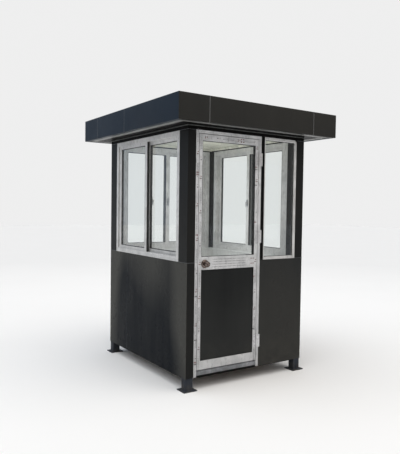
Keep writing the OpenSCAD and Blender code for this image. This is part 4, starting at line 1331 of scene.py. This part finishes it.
# %% Three hinges
for middle in hinge_z:
    z = middle - hinge_h / 2
    wing(frame_wings, z, 1, (False, True, False))
    knuckle(frame_wings, z + 0.0006, third - play - 0.0006)
    knuckle(frame_wings, z + 2 * third + play, third - play - 0.0006)
    frame_wings.turned([(0.0, 0.0), (pin_r, 0.0), (pin_r, third + 2 * play), (0.0, third + 2 * play)],
                       (pin_x, pin_y, z + third - play), (0, 0, 1), 24)
    wing(leaf_wings, z, -1, (True, False, True))
    knuckle(leaf_wings, z + third + play / 2, third - play, hole=pin_r + 0.0003)
make("hinge_halves_on_frame", frame_wings, [zinc_finish, rubber_finish], "booth",
     ["hinge_frame_wings"], bevel=0)
make("hinge_halves_on_leaf", leaf_wings, [zinc_finish, rubber_finish], "door",
     ["hinge_leaf_wings"], bevel=0)

# %% [markdown]
# ## Print on the protective film
# The film on new bars carries small repeated marks. Lettering is left out: the marks here are plain
# dots, dashes and short rules. Each is a plate a quarter of a millimetre proud, so that it stays
# crisp at any distance. Rows repeat along each bar with a fixed rhythm, with a few stronger marks.

# %% One mark
mark_t, mark_sunk = 0.00025, 0.0001
mark_faces = [[0, 1, 2, 3], [4, 5, 6, 7], [0, 1, 5, 4], [1, 2, 6, 5], [2, 3, 7, 6], [3, 0, 4, 7]]


def mark(shape, place, x, z, w, h, paint):
    """A small plate on the front face of a bar, at (x, z) in the bar's own plane."""
    corners = ((-w / 2, -h / 2), (w / 2, -h / 2), (w / 2, h / 2), (-w / 2, h / 2))
    points = [place(x + dx, out, z + dz) for out in (-mark_sunk, mark_t) for dx, dz in corners]
    shape.add(points, mark_faces, paint)


# %% A group of marks
def mark_group(shape, place, x, z, upright, kind):
    """Dots, a pair of dots with dashes, or rows of rules, turned with the bar."""
    def spot(along, across, length, width, paint):
        if upright:
            mark(shape, place, x + across, z + along, width, length, paint)
        else:
            mark(shape, place, x + along, z + across, length, width, paint)
    if kind == "dots":
        spot(-0.012, -0.006, 0.009, 0.010, 0)
        spot(-0.012, 0.006, 0.007, 0.008, 1)
        spot(0.006, 0.002, 0.007, 0.012, 0)
    elif kind == "rules":
        for k in range(9):
            spot(-0.055 + 0.0135 * k, -0.004, 0.009, 0.0035, 1)
            spot(-0.052 + 0.0135 * k, 0.005, 0.007, 0.0025, 1)
    else:
        spot(0.0, 0.0, 0.010, 0.009, 1)
        spot(0.022, 0.0, 0.004, 0.009, 0)


def face_at(y):
    return lambda x, out, z: (x, y - out, z)


# %% Groups along the jamb and stiles
booth_marks, leaf_marks = Shape(), Shape()
on_frame, on_leaf = face_at(front_y), face_at(leaf_front)
knob_stile, hinge_stile = low.x + leaf_stile / 2, high.x - leaf_stile / 2
jamb_mid = jamb_w / 2 + 0.004
kinds = ("rules", "dots", "pair", "rules", "dots")
group_count, group_start, group_step, jamb_shift = 14, 0.22, 0.148, 0.06
hinge_clear = 0.09
for k in range(group_count):
    z = group_start + group_step * k
    mark_group(leaf_marks, on_leaf, knob_stile, z, True, kinds[k % 5])
    mark_group(booth_marks, on_frame, door_left + jamb_mid, z + jamb_shift, True, kinds[(k + 2) % 5])
    if all(abs(z - middle) >= hinge_clear for middle in hinge_z):
        mark_group(leaf_marks, on_leaf, hinge_stile, z, True, kinds[(k + 3) % 5])

# %% Strong marks on the jamb beside the knob and on the hinge stile
# Each is a pair of blots at its own height, given as (height, paint)
jamb_marks = ((1.886, 0), (1.868, 0), (1.350, 0), (0.820, 1), (0.440, 1), (0.245, 0), (0.228, 1))
stile_marks = ((1.965, 0), (1.945, 1), (1.800, 1), (1.460, 0), (0.960, 0), (0.470, 1))
blot_w = 0.009
for z, paint in jamb_marks:
    for across in (-0.009, 0.004):
        mark(booth_marks, on_frame, door_left + jamb_mid + across, z, blot_w, 0.012, paint)
for z, paint in stile_marks:
    for across in (-0.016, -0.002):
        mark(leaf_marks, on_leaf, hinge_stile + across, z, blot_w, 0.011, paint)

# %% Rules and blots along the rails
rail_mid, head_mid = (panel_high.z + glass_low.z) / 2, high.z - 0.026
rule_count, rule_start, rule_step, rule_h = 22, -0.385, 0.0165, 0.0035
for row, dz in enumerate((0.032, 0.010, -0.012, -0.034)):
    for k in range(rule_count):
        length = 0.008 + 0.004 * ((k * 7 + row * 3) % 3)
        mark(leaf_marks, on_leaf, rule_start + rule_step * k, rail_mid + dz, length, rule_h, 1)
for dz in (0.026, -0.020):
    for dx in (0.0, 0.022):
        mark(leaf_marks, on_leaf, 0.03 + dx, rail_mid + dz, 0.014, 0.008, 0)
for k in range(5):
    mark_group(leaf_marks, on_leaf, -0.47 + 0.115 * k, head_mid, False, kinds[(k + 1) % 5])
for dx in (0.0, 0.024):
    for dz in (-0.010, 0.012):
        mark(leaf_marks, on_leaf, -0.10 + dx, head_mid + dz, 0.014, 0.011, 0)
for name, marks, body in (("leaf", leaf_marks, "door"), ("frame", booth_marks, "booth")):
    make(f"film_print_on_{name}", marks, [print_red_finish, print_dark_finish], body,
         bevel=0)

# %% [markdown]
# ## Floor
# The booth stands on a plain pale floor. Near the booth less light reaches it, so its colour is a
# little paler there than far off; both then meet the backdrop's tone, and no horizon line shows.

# %% Pale floor
floor_mesh = bpy.data.meshes.new("studio_floor")
floor_reach = 40.0
floor_corners = [(-1, -1), (1, -1), (1, 1), (-1, 1)]
floor_mesh.from_pydata([(floor_reach * x, floor_reach * y, 0) for x, y in floor_corners],
                       [], [[0, 1, 2, 3]])
studio_floor = bpy.data.objects.new("studio_floor", floor_mesh)
bpy.context.scene.collection.objects.link(studio_floor)
studio_floor.location.z = -0.0005
pale = Finish("pale_floor")
pale_tone = pale.ramp(pale.noise(0.8, 2.0, 0.5), 0.3, 0.7)
near_tone = pale.mix(pale_tone, (0.900, 0.892, 0.884), (0.908, 0.900, 0.892))
far_tone = pale.mix(pale_tone, (0.778, 0.774, 0.770), (0.786, 0.782, 0.778))
distance = pale.node("VectorMath", {0: pale.where}, operation="LENGTH").outputs["Value"]
near_edge, far_edge = 2.5, 11.0
floor_colour = pale.mix(pale.ramp(distance, near_edge, far_edge), near_tone, far_tone)
floor_mesh.materials.append(pale.feed(Base_Color=floor_colour, Roughness=1.0, Specular_IOR_Level=0.0))

# %% [markdown]
# ## World
# The camera sees a plain pale backdrop, but the booth is lit by a dimmer dome, cool behind it and
# warmer in front, as under a sky with a wall before it. A switch on camera rays keeps the two apart.
# If the backdrop itself lit the booth, the dark sheets would look grey.

# %% Backdrop and dome
world = bpy.data.worlds.new("pale_studio")
world.use_nodes = True
bpy.context.scene.world = world
bpy.context.scene.view_settings.view_transform = "Standard"
backdrop = world.node_tree.nodes["Background"]
backdrop.inputs["Color"].default_value = (0.86, 0.86, 0.86, 1.0)


def world_node(kind, **values):
    """A node of the world's tree, with values or links put on its inputs by name."""
    node = world.node_tree.nodes.new("ShaderNode" + kind)
    for key, value in values.items():
        if hasattr(value, "links"):
            world.node_tree.links.new(value, node.inputs[key])
        else:
            node.inputs[key].default_value = value
    return node


# The dome's colour follows the heading, from the front (A) to the back (B)
heading = world_node("SeparateXYZ", Vector=world_node("TexCoord").outputs["Generated"]).outputs["Y"]
cool_share = world_node("MapRange", Value=heading).outputs["Result"]
sky = world.node_tree.nodes.new("ShaderNodeMix")
sky.data_type = "RGBA"
sky.inputs["A"].default_value = (0.51, 0.49, 0.465, 1.0)
sky.inputs["B"].default_value = (0.42, 0.50, 0.62, 1.0)
world.node_tree.links.new(cool_share, sky.inputs["Factor"])
dome = world_node("Background", Color=sky.outputs["Result"])
seen = world_node("LightPath").outputs["Is Camera Ray"]
either = world_node("MixShader", Fac=seen)
world.node_tree.links.new(dome.outputs[0], either.inputs[1])
world.node_tree.links.new(backdrop.outputs[0], either.inputs[2])
world.node_tree.links.new(either.outputs[0], world.node_tree.nodes["World Output"].inputs["Surface"])

# %% [markdown]
# ## Lights
# Two far lamps with wide discs give the soft shadows of an overcast day: a cool one from the left
# and above, and a slightly stronger, warmer one from the front. Being far, they light the floor
# evenly. A small lamp in the cabin stands for the light that real walls and ceiling pass around.


# %% Soft lights
def soft_sun(name, place, strength, spread, colour):
    """A far lamp with a disc that is spread degrees wide, aimed at the origin."""
    data = bpy.data.lights.new(name, "SUN")
    data.energy, data.angle, data.color = strength, math.radians(spread), colour
    lamp = bpy.data.objects.new(name, data)
    bpy.context.scene.collection.objects.link(lamp)
    lamp.location = place
    lamp.rotation_euler = (-Vector(place)).to_track_quat("-Z", "Y").to_euler()


soft_sun("left_sky", (-2.5, 0.6, 4.5), 1.12, 70.0, (0.90, 0.95, 1.0))
soft_sun("front_fill", (0.8, -2.6, 4.5), 1.22, 70.0, (1.0, 0.975, 0.94))

# %% Cabin lamp
# A lamp in the middle of the cabin lifts the ceiling and the backs of the frames
cabin_data = bpy.data.lights.new("cabin_glow", "POINT")
cabin_data.energy, cabin_data.shadow_soft_size = 14.0, 0.25
cabin_glow = bpy.data.objects.new("cabin_glow", cabin_data)
bpy.context.scene.collection.objects.link(cabin_glow)
cabin_glow.location = (0.0, 0.0, 1.45)
cabin_glow.visible_camera = cabin_glow.visible_glossy = False

# %% [markdown]
# ## Camera
# The camera stands at eye height off the near corner, turned a little towards the door. Its lens
# and shift frame the booth with air on both sides.

# %% Camera
camera_place = Vector((-3.0027, -4.8997, 1.5817))
camera_yaw, camera_pitch, camera_roll = 0.6278, -0.0410, 0.0171
camera_data = bpy.data.cameras.new("camera")
camera_data.sensor_fit, camera_data.sensor_height, camera_data.sensor_width = "AUTO", 36.0, 36.0
camera_data.lens = 43.85
camera_data.shift_x, camera_data.shift_y = -0.0991, 0.0099
camera = bpy.data.objects.new("camera", camera_data)
bpy.context.scene.collection.objects.link(camera)
forward = Vector((math.sin(camera_yaw) * math.cos(camera_pitch),
                  math.cos(camera_yaw) * math.cos(camera_pitch), math.sin(camera_pitch)))
right = Vector((math.cos(camera_yaw), -math.sin(camera_yaw), 0.0))
up = right.cross(forward)
rolled_right = right * math.cos(camera_roll) + up * math.sin(camera_roll)
rolled_up = up * math.cos(camera_roll) - right * math.sin(camera_roll)
turn = Matrix((rolled_right, rolled_up, -forward)).transposed().to_4x4()
camera.matrix_world = Matrix.Translation(camera_place) @ turn
bpy.context.scene.camera = camera

# %% [markdown]
# ## Finishing up
# The last cell brings the scene up to date.

# %% Update the scene
bpy.context.view_layer.update()
